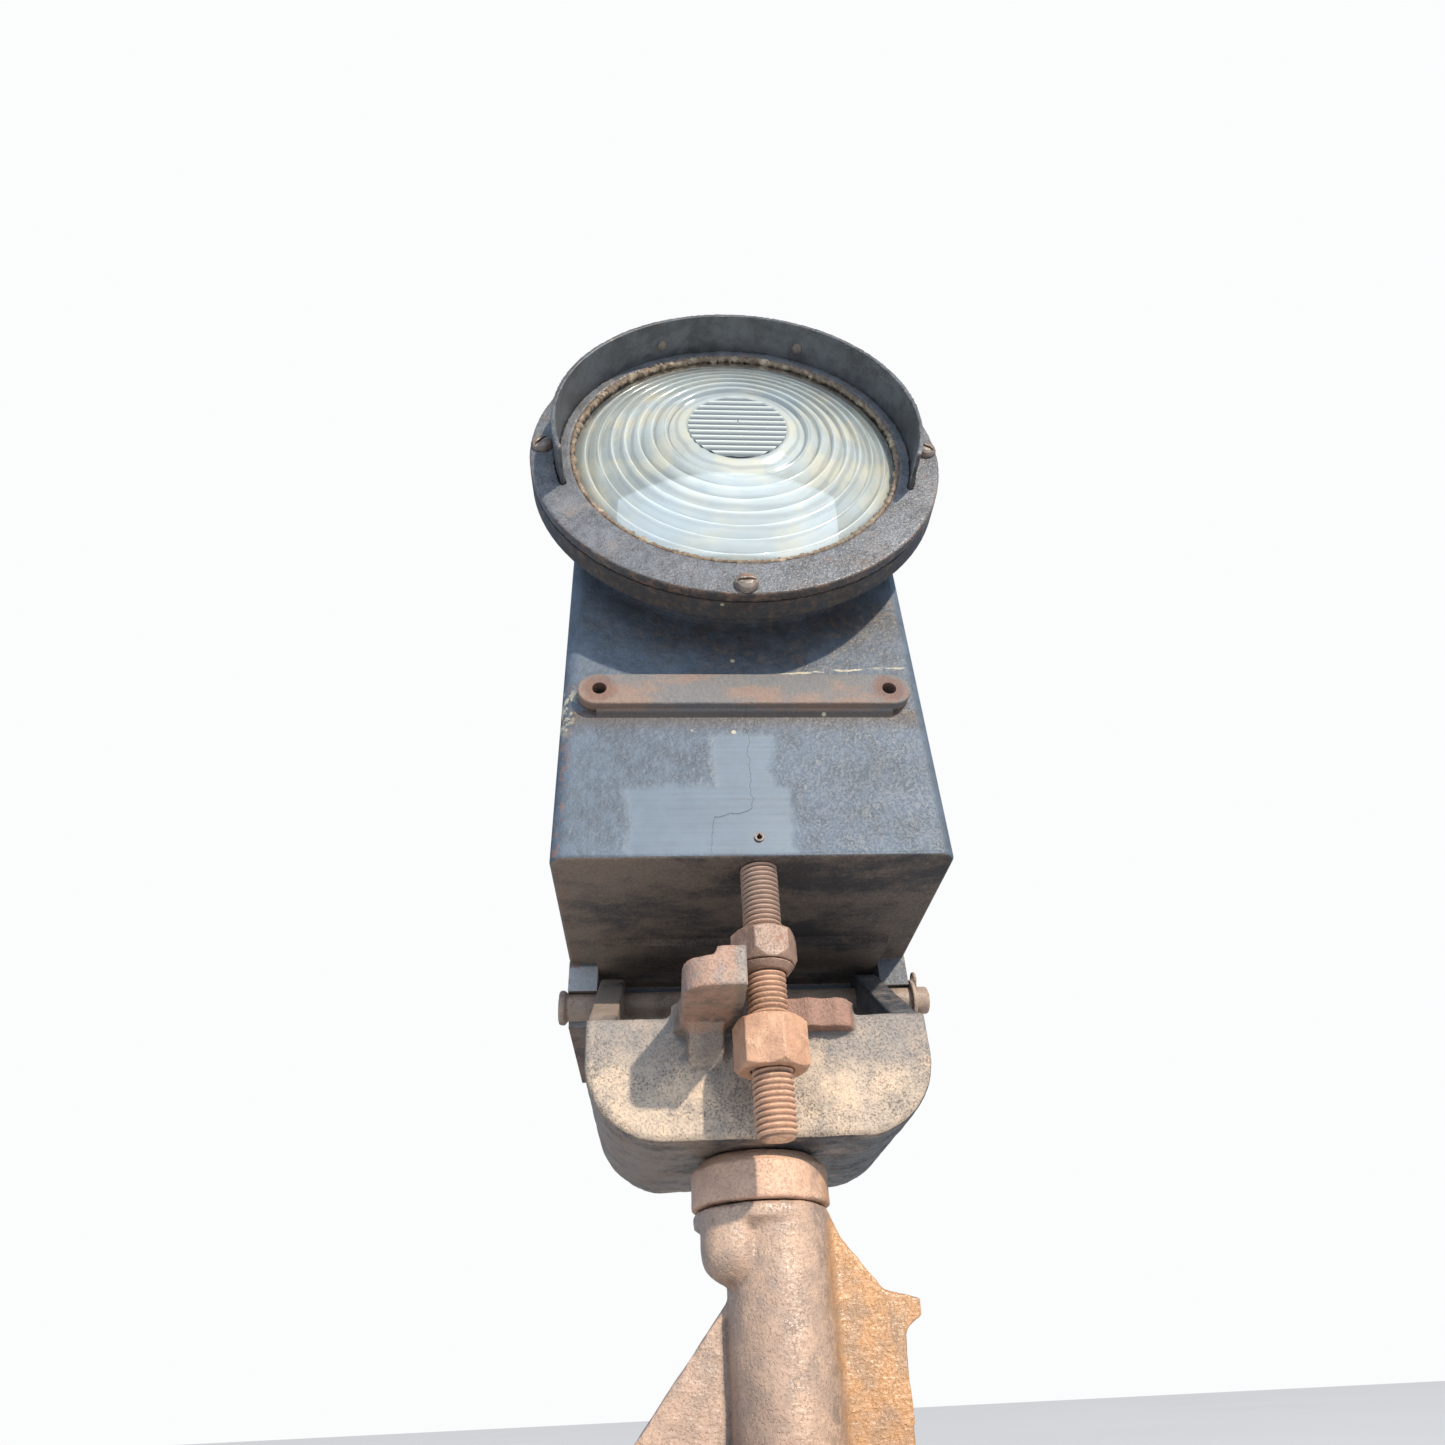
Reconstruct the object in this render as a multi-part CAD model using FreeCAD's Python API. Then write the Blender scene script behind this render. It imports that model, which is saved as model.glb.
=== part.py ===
import FreeCAD, Part
import math
import os

V = FreeCAD.Vector

# Railway signal lamp unit: a cast-iron lamp case with one 8-3/8 inch lens, hung by two open hooks on
# a hinge pin, levelled by a threaded stud, and carried by a forked bracket that swivels on a pedestal.
#
# Frame: origin at the centre of the pedestal's foot, on the post axis. +Z up, the lens looks along -Y,
# +X is to the right of somebody who faces the lens. Millimetres.

# ---------------------------------------------------------------- driving sizes
RUN = 0.05            # radial clearance of a running or located fit
GAP = 0.35            # clear space between pieces that move past each other
SEAT = 0.02           # space between faces bolted or glued together

CASE_W = 203.0        # lamp case, across
CASE_D = 264.0        # front face to rear face
CASE_H = 394.0        # main box, bottom to top
CASE_WALL = 7.0
CASE_EDGE_R = 9.0
CASE_Z = 250.0        # underside of the case above the foot
POST_SETBACK = 82.0   # front face of the case to the post axis
RIM = 13.0            # wall around the rear opening
RIM_DEPTH = 12.0
SUMP_SETBACK = 160.0  # front face to the deep rear part of the case
SUMP_DROP = 33.0      # how far it hangs below the main underside
PAD_DROP = 4.0        # machined pad between the hooks
PAD_D = 63.0
HOOK_T = 17.0         # hook thickness along X
HOOK_D = 30.0         # hook length in front of the sump

LENS_Z = 260.0        # lens centre above the underside of the case
FLANGE_EDGE = 7.5     # flange and ring outside the screw circle
FLANGE_T = 14.0
NECK_WALL = 8.0
NECK_L = 26.0
NECK_FILLET = 9.0
RING_T = 7.0
RING_CLEAR = 1.9      # ring's opening around the lens body
LENS_RIM_R = 106.0
LENS_RIM_T = 6.0
LENS_RIM_W = 6.2
LENS_RISE = 23.5      # dome height above its edge
LENS_STEP_T = 5.0     # straight edge of the lens in front of its rim
LENS_WEB = 6.0        # least glass thickness
LENS_STEPS = 7
LENS_EYE_R = 30.0     # plain middle with its bars
LENS_TOOTH = 3.4
GASKET_T = 1.5
LENS_SEAT_W = 13.0    # seat behind the rim, around the hole in the front wall

HOOD_SETBACK = 8.3    # middle of the sheet outside the ring's opening
HOOD_T = 3.0
HOOD_REACH = 25.0     # in front of the ring
HOOD_DROP = 19.0      # degrees below level where the hood ends
HOOD_GROOVE = 4.0
RIVET_R = 2.2
RIVET_ANGLE = 25.0    # each side of the top
SCREW_OUT = 9.0       # screw circle outside the hood
SCREW_HEAD_R = 7.0
SCREW_HEAD_H = 4.6
SCREW_R = 3.9
SCREW_L = 17.0

BOSS_Z = 100.0        # cross boss on the front face, centre above the underside
BOSS_H = 21.0
BOSS_MARGIN = 9.5     # from its end to the side of the case
BOSS_T = 8.0
TAP_INSET = 12.0      # tapped hole from the end of the boss
TAP_R = 3.95
TAP_DEPTH = 13.0

STUD_R = 9.5
STUD_X = 2.4          # stud and fork sit a little to the right of the centre
STUD_SETBACK = 14.0   # stud axis behind the front face
STUD_DROP = 127.0     # lower end below the underside
STUD_GRIP = 34.0      # length inside the case
STUD_BLOCK_W = 44.0
STUD_BLOCK_D = 32.0
LOCK_PIN_R = 2.4
LOCK_PIN_Z = 10.4

PIN_R = 8.0           # hinge pin
PIN_SETBACK = 138.0   # behind the front face
PIN_DROP = 24.0       # below the underside
PIN_HEAD_R = 10.0
PIN_HEAD_T = 4.5
PIN_WASHER_T = 2.5
PIN_TAIL = 9.0
COTTER_R = 1.6

YOKE_SETBACK = 40.0   # front plate of the yoke behind the front face of the case
YOKE_SIDE_GAP = 1.5   # between the yoke and the hooks
YOKE_TOP = 64.0       # top of the front plate below the case
YOKE_BOTTOM = 121.0
YOKE_CORNER_R = 38.0
YOKE_BACK = 161.0     # rear of the yoke behind the front face of the case
YOKE_FRONT_T = 11.0
YOKE_FLOOR_T = 12.0
CHEEK_T = 15.0
EYE_R = 16.0
YOKE_EDGE_R = 4.0
HUB_R = 36.0
HUB_H = 7.0

LUG_ROOT_W = 90.0     # fork that holds the stud
LUG_W = 80.0
LUG_TIP_R = 15.0      # rounded corner of the fork's tip
LUG_TIP = 63.0        # reach in front of the yoke's plate
LUG_T = 14.5
LUG_TOP = 59.0
LUG_PAD = 4.0         # raised seat under the upper nut
LUG_PAD_W = 50.0
LUG_PAD_D = 44.0
SLOT_W = 23.0
SLOT_END = 6.0        # closed end of the slot in front of the yoke's plate
LUG_GUSSET_W = 18.0   # clear of the lower nut
STUMP = 8.5           # what is left of the broken prong

UPPER_NUT_AF = 28.6
UPPER_NUT_H = 16.5
UPPER_NUT_TURN = 10.0  # degrees from flat to the front
LOWER_NUT_AF = 30.2
LOWER_NUT_TURN = -15.0
LOWER_NUT_H = 22.5
LOWER_NUT_GAP = 3.4   # lets the lower nut's flat face tip under the fork
SEAT_BALL_R = 16.0
WASHER_T = 3.6

SPIGOT_R = 21.0
BORE_R = 12.0         # cable way up the post
SWIVEL_WASHER_R = 29.5
SWIVEL_WASHER_T = 4.0
SWIVEL_NUT_AF = 50.0
SWIVEL_NUT_H = 12.0
COLLAR_R = 32.7
COLLAR_H = 20.5
COLLAR_SHOULDER = 2.6
GROOVE_H = 1.6
GROOVE_R = 30.5
COLUMN_R = 24.0
COLUMN_X = 6.0
COLUMN_Y = -6.0
HEAD_R = 32.0
HEAD_H = 5.0
HEAD_FLARE = 6.0
LOBE_R = 14.5
LOBE_DROP = 3.0       # middle of the lobe below the flare of the head
LOBE_OUT = 21.0       # middle of the lobe left of the column
LOBE_Y = -15.0
LOBE_HALF = 8.0
SHELF_DROP = 32.0     # top of the web's lip below the post's head
FOOT_R = 78.0
FOOT_T = 14.0
FOOT_PCD = 120.0
FOOT_HOLES = 4
FOOT_HOLE_R = 7.0
RIB_T = 12.0

DOOR_T = 9.0
DOOR_MARGIN = 2.5     # door edge inside the outline of the case
DOOR_GASKET_T = 2.5
DOOR_BEAD = 14.0
HINGE_OUT = 7.5       # hinge axis outside the case wall
HINGE_PIN_R = 3.5
KNUCKLE_R = 7.0
KNUCKLE_H = 16.0
HINGE_ZS = (40.0, 330.0)
HASP_REACH = 33.0     # hinge of the hasp to the staple
HASP_Z = 190.0
HASP_T = 3.0
HASP_W = 34.0
HASP_LEN = 49.0
HASP_PIN_R = 2.5
STAPLE_STAND = 9.5    # outside the case
STAPLE_T = 5.0
STAPLE_H = 18.0
STAPLE_OUT = 13.0

BUSH_R = 15.0
BUSH_BORE_R = 9.0

LAMP_SETBACK = 78.0   # filament behind the front face
LAMP_STRIP_W = 32.0
LAMP_STRIP_T = 4.0
LAMP_FOOT_L = 56.0
LAMP_TRAVEL = 6.0
SOCKET_R = 14.0
SOCKET_L = 34.0
BULB_R = 17.0
BULB_BASE_R = 10.5

BLOCK_SIZE = (110.0, 34.0, 16.0)
POST_COUNT = 4
POST_PITCH = 24.0

# ---------------------------------------------------------------- derived places
FRONT = -POST_SETBACK
REAR = FRONT + CASE_D
TOP = CASE_Z + CASE_H
HALF = CASE_W / 2
SUMP_FRONT = FRONT + SUMP_SETBACK
SUMP_Z = CASE_Z - SUMP_DROP
LENS_C = CASE_Z + LENS_Z
LENS_BODY_R = LENS_RIM_R - LENS_RIM_W
SEAT_BORE_R = LENS_RIM_R - LENS_SEAT_W
NECK_R = SEAT_BORE_R + NECK_WALL
RING_OPEN_R = LENS_BODY_R + RING_CLEAR
HOOD_R = RING_OPEN_R + HOOD_SETBACK
SCREW_CIRCLE_R = HOOD_R + SCREW_OUT
FLANGE_R = SCREW_CIRCLE_R + FLANGE_EDGE
BOSS_W = CASE_W - 2 * BOSS_MARGIN
TAP_SPACING = BOSS_W - 2 * TAP_INSET
FLANGE_FRONT = FRONT - NECK_L - FLANGE_T
RING_FRONT = FLANGE_FRONT - RING_T
STUD_Y = FRONT + STUD_SETBACK
PIN_Y = FRONT + PIN_SETBACK
PIN_Z = CASE_Z - PIN_DROP
YOKE_Y = FRONT + YOKE_SETBACK
YOKE_REAR = FRONT + YOKE_BACK
YOKE_Z = CASE_Z - YOKE_BOTTOM
YOKE_W = CASE_W - 2 * (HOOK_T + YOKE_SIDE_GAP)
YOKE_HALF = YOKE_W / 2
LUG_Z = CASE_Z - LUG_TOP
SEAT_Z = LUG_Z + LUG_PAD
LUG_UNDER = LUG_Z - LUG_T
BALL_Z = SEAT_Z + GAP + math.sqrt(SEAT_BALL_R ** 2 - (SLOT_W / 2) ** 2)
WASHER_Z = SEAT_Z - 0.3
HUB_TOP = YOKE_Z + YOKE_FLOOR_T + HUB_H
COLLAR_TOP = YOKE_Z - GAP
HEAD_TOP = COLLAR_TOP - COLLAR_H - COLLAR_SHOULDER
HINGE_X = -(HALF + HINGE_OUT)
DOOR_Y = REAR + DOOR_GASKET_T + GAP
HINGE_Y = DOOR_Y + DOOR_T / 2
HASP_Y = DOOR_Y + DOOR_T + 4.0
STAPLE_X = HALF + STAPLE_STAND
HASP_X = STAPLE_X - HASP_REACH
FLOOR_IN = CASE_Z + CASE_WALL
BUSH_Y = (SUMP_FRONT + REAR) / 2


# ---------------------------------------------------------------- helpers
def box(x0, x1, y0, y1, z0, z1):
    return Part.makeBox(x1 - x0, y1 - y0, z1 - z0, V(x0, y0, z0))


def rod(radius, start, end):
    """Cylinder between two points."""
    a, b = V(*start), V(*end)
    return Part.makeCylinder(radius, (b - a).Length, a, b - a)


def tube(outer, inner, start, end):
    return rod(outer, start, end).cut(rod(inner, start, end))


def prism(points, direction):
    """Closed outline of points pushed along a direction."""
    wire = Part.makePolygon([V(*p) for p in points] + [V(*points[0])])
    return Part.Face(wire).extrude(V(*direction))


def turned(profile, centre, axis=(0, 1, 0)):
    """Solid of revolution about Y (radius along X) or Z, moved to its centre."""
    if axis == (0, 1, 0):
        points = [V(r, s, 0) for r, s in profile]
    else:
        points = [V(r, 0, s) for r, s in profile]
    face = Part.Face(Part.makePolygon(points + [points[0]]))
    solid = face.revolve(V(0, 0, 0), V(*axis), 360)
    solid.translate(V(*centre))
    return solid


def hexagon(across_flats, z0, z1, x=0.0, y=0.0, chamfer=1.6, turn=0.0):
    """Hexagon prism with a flat to the front, its corners turned off at both ends."""
    corner = across_flats / math.sqrt(3)
    angles = [math.radians(60 * i + turn) for i in range(6)]
    ring = [(x + corner * math.cos(a), y + corner * math.sin(a), z0) for a in angles]
    blank = prism(ring, (0, 0, z1 - z0))
    flat = across_flats / 2
    rise = chamfer
    turned_blank = turned([(0, z0), (flat - 0.3, z0), (corner + 0.1, z0 + rise),
                           (corner + 0.1, z1 - rise), (flat - 0.3, z1), (0, z1)], (x, y, 0), (0, 0, 1))
    return blank.common(turned_blank)


def edges_where(shape, test):
    return [e for e in shape.Edges if test(e)]


def soften(shape, radius, test):
    """Fillet the edges a test picks, limited to what the edges allow."""
    picked = edges_where(shape, test)
    return shape.makeFillet(radius, picked) if picked else shape


def fuse(first, *others):
    result = first
    for other in others:
        result = result.fuse(other)
    return result.removeSplitter()


def along(edge, axis):
    """True for a straight edge parallel to an axis."""
    if not isinstance(edge.Curve, (Part.Line, Part.LineSegment)):
        return False
    a, b = edge.Vertexes[0].Point, edge.Vertexes[-1].Point
    d = (b - a).normalize()
    return abs(abs(d[axis]) - 1) < 1e-6


def is_circle(edge, radius):
    """True for a round edge of the radius."""
    if edge.Degenerated:
        return False
    return isinstance(edge.Curve, Part.Circle) and abs(edge.Curve.Radius - radius) < 0.01


def middle(edge):
    return edge.CenterOfMass


def group(*solids):
    return Part.makeCompound(list(solids))


def export(name, shape):
    shape.exportStep("parts/" + name + ".step")


# ---------------------------------------------------------------- pedestal and swivel
def pedestal_web(points, thickness):
    """Rib in the XZ plane, centred on the post."""
    outline = [(x, -thickness / 2, z) for x, z in points]
    return prism(outline, (0, thickness, 0))


def pedestal():
    neck_z = HEAD_TOP - HEAD_H
    column = rod(COLUMN_R, (COLUMN_X, COLUMN_Y, 0), (COLUMN_X, COLUMN_Y, neck_z))
    head = turned([(0, neck_z - HEAD_FLARE), (COLUMN_R, neck_z - HEAD_FLARE), (HEAD_R, neck_z),
                   (HEAD_R, HEAD_TOP), (0, HEAD_TOP)], (0, 0, 0), (0, 0, 1))
    groove = rod(GROOVE_R, (0, 0, HEAD_TOP - 1), (0, 0, HEAD_TOP + GROOVE_H))
    spigot_top = HUB_TOP + SWIVEL_WASHER_T + SWIVEL_NUT_H + 6
    spigot = rod(SPIGOT_R - RUN, (0, 0, HEAD_TOP - 1), (0, 0, spigot_top))
    lobe_z = neck_z - LOBE_DROP
    lobe_x = COLUMN_X - LOBE_OUT
    low, high = lobe_z - LOBE_HALF, lobe_z + LOBE_HALF
    lobe = fuse(Part.makeSphere(LOBE_R, V(lobe_x, LOBE_Y, high)),
                rod(LOBE_R, (lobe_x, LOBE_Y, low), (lobe_x, LOBE_Y, high)),
                Part.makeSphere(LOBE_R, V(lobe_x, LOBE_Y, low)))
    lobe = lobe.cut(rod(HEAD_R + LOBE_OUT, (0, 0, HEAD_TOP), (0, 0, HEAD_TOP + 2 * LOBE_R)))
    shelf_z = HEAD_TOP - SHELF_DROP
    right = pedestal_web([(0, HEAD_TOP - 1), (HEAD_R - 1, HEAD_TOP - 1), (HEAD_R + 4, HEAD_TOP - 12),
                          (HEAD_R + 20, shelf_z), (HEAD_R + 36, shelf_z - 4), (HEAD_R + 36, shelf_z - 11),
                          (HEAD_R + 28, shelf_z - 16), (HEAD_R + 26, FOOT_T), (HEAD_R + 32, FOOT_T - 2),
                          (0, FOOT_T - 2)], RIB_T + 6)
    left_top = low - LOBE_R - 4
    left = pedestal_web([(0, FOOT_T - 2), (-FOOT_R + 14, FOOT_T - 2), (-FOOT_R + 14, FOOT_T + 2),
                         (COLUMN_X - COLUMN_R, left_top), (0, left_top)], RIB_T)
    rear = left.copy()
    rear.rotate(V(0, 0, 0), V(0, 0, 1), -90)
    foot = rod(FOOT_R, (0, 0, 0), (0, 0, FOOT_T))
    body = fuse(foot, column, head, groove, spigot, lobe, right, left, rear)
    body = body.cut(rod(BORE_R, (0, 0, -1), (0, 0, spigot_top + 1)))
    for i in range(FOOT_HOLES):
        a = math.radians(45 + 360 / FOOT_HOLES * i)
        x, y = FOOT_PCD / 2 * math.cos(a), FOOT_PCD / 2 * math.sin(a)
        body = body.cut(rod(FOOT_HOLE_R, (x, y, -1), (x, y, FOOT_T + 1)))
    return soften(body, 3.0, lambda e: is_circle(e, FOOT_R) and middle(e).z > FOOT_T - 1)


def swivel_collar():
    base = HEAD_TOP + GROOVE_H + SEAT
    shape = turned([(SPIGOT_R + RUN, base), (COLLAR_R - 1, base), (COLLAR_R, base + 1),
                    (COLLAR_R, COLLAR_TOP - COLLAR_SHOULDER - 3),
                    (COLLAR_R - 3, COLLAR_TOP - COLLAR_SHOULDER), (COLLAR_R - 6, COLLAR_TOP),
                    (SPIGOT_R + RUN, COLLAR_TOP)], (0, 0, 0), (0, 0, 1))
    return shape


def swivel_washer():
    z = HUB_TOP + GAP
    return tube(SWIVEL_WASHER_R, SPIGOT_R + RUN, (0, 0, z), (0, 0, z + SWIVEL_WASHER_T))


def swivel_nut():
    z = HUB_TOP + GAP + SWIVEL_WASHER_T + SEAT
    nut = hexagon(SWIVEL_NUT_AF, z, z + SWIVEL_NUT_H)
    return nut.cut(rod(SPIGOT_R + RUN - 0.02, (0, 0, z - 1), (0, 0, z + SWIVEL_NUT_H + 1)))


# ---------------------------------------------------------------- yoke and hinge pin
def yoke_section(half, bottom, top, radius, y, depth):
    """D-shaped section: flat top, lower corners rounded, pushed back along Y."""
    r = min(radius, half - 1)
    c = math.sqrt(0.5) * r
    left, right = V(-half, y, top), V(half, y, top)
    a, b = V(-half, y, bottom + r), V(-half + r, y, bottom)
    d, e = V(half - r, y, bottom), V(half, y, bottom + r)
    arc_left = Part.Arc(a, V(-half + r - c, y, bottom + r - c), b)
    arc_right = Part.Arc(d, V(half - r + c, y, bottom + r - c), e)
    edges = [Part.makeLine(left, a), arc_left.toShape(), Part.makeLine(b, d), arc_right.toShape(),
             Part.makeLine(e, right), Part.makeLine(right, left)]
    return Part.Face(Part.Wire(edges)).extrude(V(0, depth, 0))


def cheek_profile():
    """Side view of the yoke that gives the cheeks their slope and their eye."""
    top = CASE_Z - YOKE_TOP
    slope_foot = YOKE_Y + 8
    eye_top = PIN_Z + EYE_R
    low = YOKE_Z - 1
    x0, width = -YOKE_HALF - 1, YOKE_W + 2
    plate = prism([(x0, YOKE_Y - 1, low), (x0, YOKE_Y - 1, top), (x0, slope_foot, top),
                   (x0, PIN_Y - EYE_R * 0.5, eye_top - 2.2), (x0, PIN_Y, PIN_Z), (x0, PIN_Y + EYE_R, PIN_Z),
                   (x0, YOKE_REAR + 1, PIN_Z - 30), (x0, YOKE_REAR + 1, low)], (width, 0, 0))
    eye = rod(EYE_R, (x0, PIN_Y, PIN_Z), (x0 + width, PIN_Y, PIN_Z))
    return plate.fuse(eye)


def fork_lug():
    """Flat fork in front of the plate; its right prong has snapped off near the root."""
    tip = YOKE_Y - LUG_TIP
    half_root, half = LUG_ROOT_W / 2, LUG_W / 2
    flank = 17.0
    y = YOKE_Y + 1
    z = LUG_UNDER
    neck = YOKE_Y - flank
    bend = 0.35
    r, c = LUG_TIP_R, LUG_TIP_R * (1 - math.sqrt(0.5))
    left_mid = V(-half - (half_root - half) * bend, YOKE_Y - flank * bend, z)
    right_mid = V(half + (half_root - half) * bend, YOKE_Y - flank * bend, z)
    left = [V(-half_root, YOKE_Y, z), V(-half, neck, z), V(-half, tip + r, z), V(-half + r, tip, z)]
    right = [V(-p.x, p.y, z) for p in left]
    edges = [Part.Arc(left[0], left_mid, left[1]).toShape(), Part.makeLine(left[1], left[2]),
             Part.Arc(left[2], V(-half + c, tip + c, z), left[3]).toShape(), Part.makeLine(left[3], right[3]),
             Part.Arc(right[3], V(half - c, tip + c, z), right[2]).toShape(),
             Part.makeLine(right[2], right[1]), Part.Arc(right[1], right_mid, right[0]).toShape(),
             Part.makeLine(right[0], V(half_root, y, z)),
             Part.makeLine(V(half_root, y, z), V(-half_root, y, z)),
             Part.makeLine(V(-half_root, y, z), left[0])]
    blank = Part.Face(Part.Wire(edges)).extrude(V(0, 0, LUG_T))
    pad = box(-LUG_PAD_W / 2, LUG_PAD_W / 2, tip, tip + LUG_PAD_D, LUG_Z - 1, SEAT_Z)
    pad = pad.fuse(prism([(-LUG_PAD_W / 2, tip + LUG_PAD_D, SEAT_Z), (-LUG_PAD_W / 2, tip + LUG_PAD_D, LUG_Z),
                          (-LUG_PAD_W / 2, tip + LUG_PAD_D + 9, LUG_Z)], (LUG_PAD_W, 0, 0)))
    slot_end = YOKE_Y - SLOT_END
    half_slot = SLOT_W / 2
    slot = fuse(box(-half_slot, half_slot, tip - 1, slot_end - half_slot, z - 1, SEAT_Z + 1),
                rod(half_slot, (0, slot_end - half_slot, z - 1), (0, slot_end - half_slot, SEAT_Z + 1)))
    gusset = prism([(-half_root + 8, YOKE_Y + 1, z + 1), (-half_root + 8, YOKE_Y - 22, z + 1),
                    (-half_root + 8, YOKE_Y + 1, z - 16)], (LUG_GUSSET_W, 0, 0))
    lug = fuse(blank, pad, gusset).cut(slot).cut(broken_space())
    lug.translate(V(STUD_X, 0, 0))
    return lug


def broken_space():
    """Volume of the missing prong, its inner side a ragged break."""
    stump_y = YOKE_Y - STUMP
    x0, x1 = 0.5, LUG_ROOT_W
    z0, z1 = LUG_UNDER - 20, SEAT_Z + 5
    far = YOKE_Y - LUG_TIP - 5
    line = [(x0, stump_y - 1.0), (SLOT_W / 2 + 4, stump_y + 1.4), (SLOT_W / 2 + 11, stump_y - 0.6),
            (SLOT_W / 2 + 17, stump_y + 1.8), (SLOT_W / 2 + 24, stump_y + 0.2),
            (LUG_ROOT_W / 2 - 1, stump_y + 3.4),
            (x1, stump_y + 3.4), (x1, far), (x0, far)]
    return prism([(x, y, z0) for x, y in line], (0, 0, z1 - z0))


def yoke():
    top = PIN_Z + EYE_R + 1
    outer = yoke_section(YOKE_HALF, YOKE_Z, top, YOKE_CORNER_R, YOKE_Y, YOKE_REAR - YOKE_Y)
    outer = outer.common(cheek_profile())
    front_outline = lambda e: abs(middle(e).y - YOKE_Y) < 0.01
    outer = soften(outer, YOKE_EDGE_R, front_outline)
    inner = yoke_section(YOKE_HALF - CHEEK_T, YOKE_Z + YOKE_FLOOR_T, top + 1, YOKE_CORNER_R - CHEEK_T,
                         YOKE_Y + YOKE_FRONT_T, YOKE_REAR - YOKE_Y - 2 * YOKE_FRONT_T)
    back_gap = box(-YOKE_HALF + CHEEK_T, YOKE_HALF - CHEEK_T, YOKE_REAR - YOKE_FRONT_T - 2, YOKE_REAR + 1,
                   YOKE_Z + 34, top + 1)
    body = outer.cut(inner).cut(back_gap)
    hub = rod(HUB_R, (0, 0, YOKE_Z + 1), (0, 0, HUB_TOP))
    hub_bore = rod(SPIGOT_R, (0, 0, YOKE_Z - 1), (0, 0, HUB_TOP + 1))
    pin_bore = rod(PIN_R + RUN, (-YOKE_HALF - 1, PIN_Y, PIN_Z), (YOKE_HALF + 1, PIN_Y, PIN_Z))
    return fuse(body, hub, fork_lug()).cut(hub_bore).cut(pin_bore)


def hinge_pin():
    end = HALF + GAP
    shank = rod(PIN_R, (-end - GAP, PIN_Y, PIN_Z), (end + PIN_WASHER_T + PIN_TAIL, PIN_Y, PIN_Z))
    head = rod(PIN_HEAD_R, (-end - GAP - PIN_HEAD_T, PIN_Y, PIN_Z), (-end - GAP, PIN_Y, PIN_Z))
    head = head.makeFillet(1.5, edges_where(head, lambda e: isinstance(e.Curve, Part.Circle)))
    x = cotter_x()
    hole = rod(COTTER_R + RUN, (x, PIN_Y, PIN_Z - PIN_R - 1), (x, PIN_Y, PIN_Z + PIN_R + 1))
    pin = shank.fuse(head).cut(hole)
    tail = lambda e: isinstance(e.Curve, Part.Circle) and middle(e).x > end + PIN_WASHER_T + PIN_TAIL - 0.1
    return pin.makeChamfer(1.0, edges_where(pin, tail))


def cotter_x():
    return HALF + 2 * GAP + PIN_WASHER_T + COTTER_R + 0.6


def pin_washer():
    x = HALF + 2 * GAP
    return tube(PIN_HEAD_R + 2, PIN_R + RUN, (x, PIN_Y, PIN_Z), (x + PIN_WASHER_T, PIN_Y, PIN_Z))


def cotter_pin():
    """Split pin through the hinge pin's tail: ring on top, two legs bent apart below."""
    x, top, low = cotter_x(), PIN_Z + PIN_R, PIN_Z - PIN_R
    shank = rod(COTTER_R, (x, PIN_Y, low - 1.6), (x, PIN_Y, top + 1.6))
    eye = Part.makeTorus(3.4, 1.2, V(x, PIN_Y, top + 4.8), V(1, 0, 0))
    legs = [rod(0.9, (x, PIN_Y, low - 0.8), (x, PIN_Y + s * 7, low - 5)) for s in (-1, 1)]
    shape = shank.fuse(eye)
    for leg in legs:
        shape = shape.fuse(leg)
    return shape


# ---------------------------------------------------------------- lamp case
def case_outside():
    main = box(-HALF, HALF, FRONT, REAR, CASE_Z, TOP)
    upright = lambda e: along(e, 2) and middle(e).y < FRONT + 1
    roof = lambda e: middle(e).z > TOP - 1 and middle(e).y < REAR - 1
    main = soften(main, CASE_EDGE_R, lambda e: upright(e) or roof(e))
    main = soften(main, 2.5, lambda e: middle(e).z < CASE_Z + 0.01 and middle(e).y < FRONT + CASE_EDGE_R)
    sump = box(-HALF, HALF, SUMP_FRONT, REAR, SUMP_Z, CASE_Z + 1)
    sump = soften(sump, 5.0, lambda e: middle(e).z < SUMP_Z + 0.01 and along(e, 0) and middle(e).y > REAR - 1)
    pad = box(-HALF + HOOK_T, HALF - HOOK_T, SUMP_FRONT - PAD_D, SUMP_FRONT + 1, CASE_Z - PAD_DROP, CASE_Z + 1)
    return fuse(main, sump, pad, *[hook(side) for side in (-1, 1)])


def hook(side):
    """Open hook that rests on the hinge pin: roof above it and a wall behind it."""
    x0, x1 = sorted((side * HALF, side * (HALF - HOOK_T)))
    front = SUMP_FRONT - HOOK_D
    lip = PIN_Z + PIN_R - 1
    block = box(x0, x1, front, SUMP_FRONT + 1, SUMP_Z, CASE_Z + 1)
    below = box(x0 - 1, x1 + 1, front - 1, PIN_Y, SUMP_Z - 1, lip)
    under = box(x0 - 1, x1 + 1, PIN_Y - 1, PIN_Y + PIN_R + RUN, SUMP_Z - 1, PIN_Z)
    saddle = rod(PIN_R + RUN, (x0 - 1, PIN_Y, PIN_Z), (x1 + 1, PIN_Y, PIN_Z))
    return block.cut(below).cut(under).cut(saddle)


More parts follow.
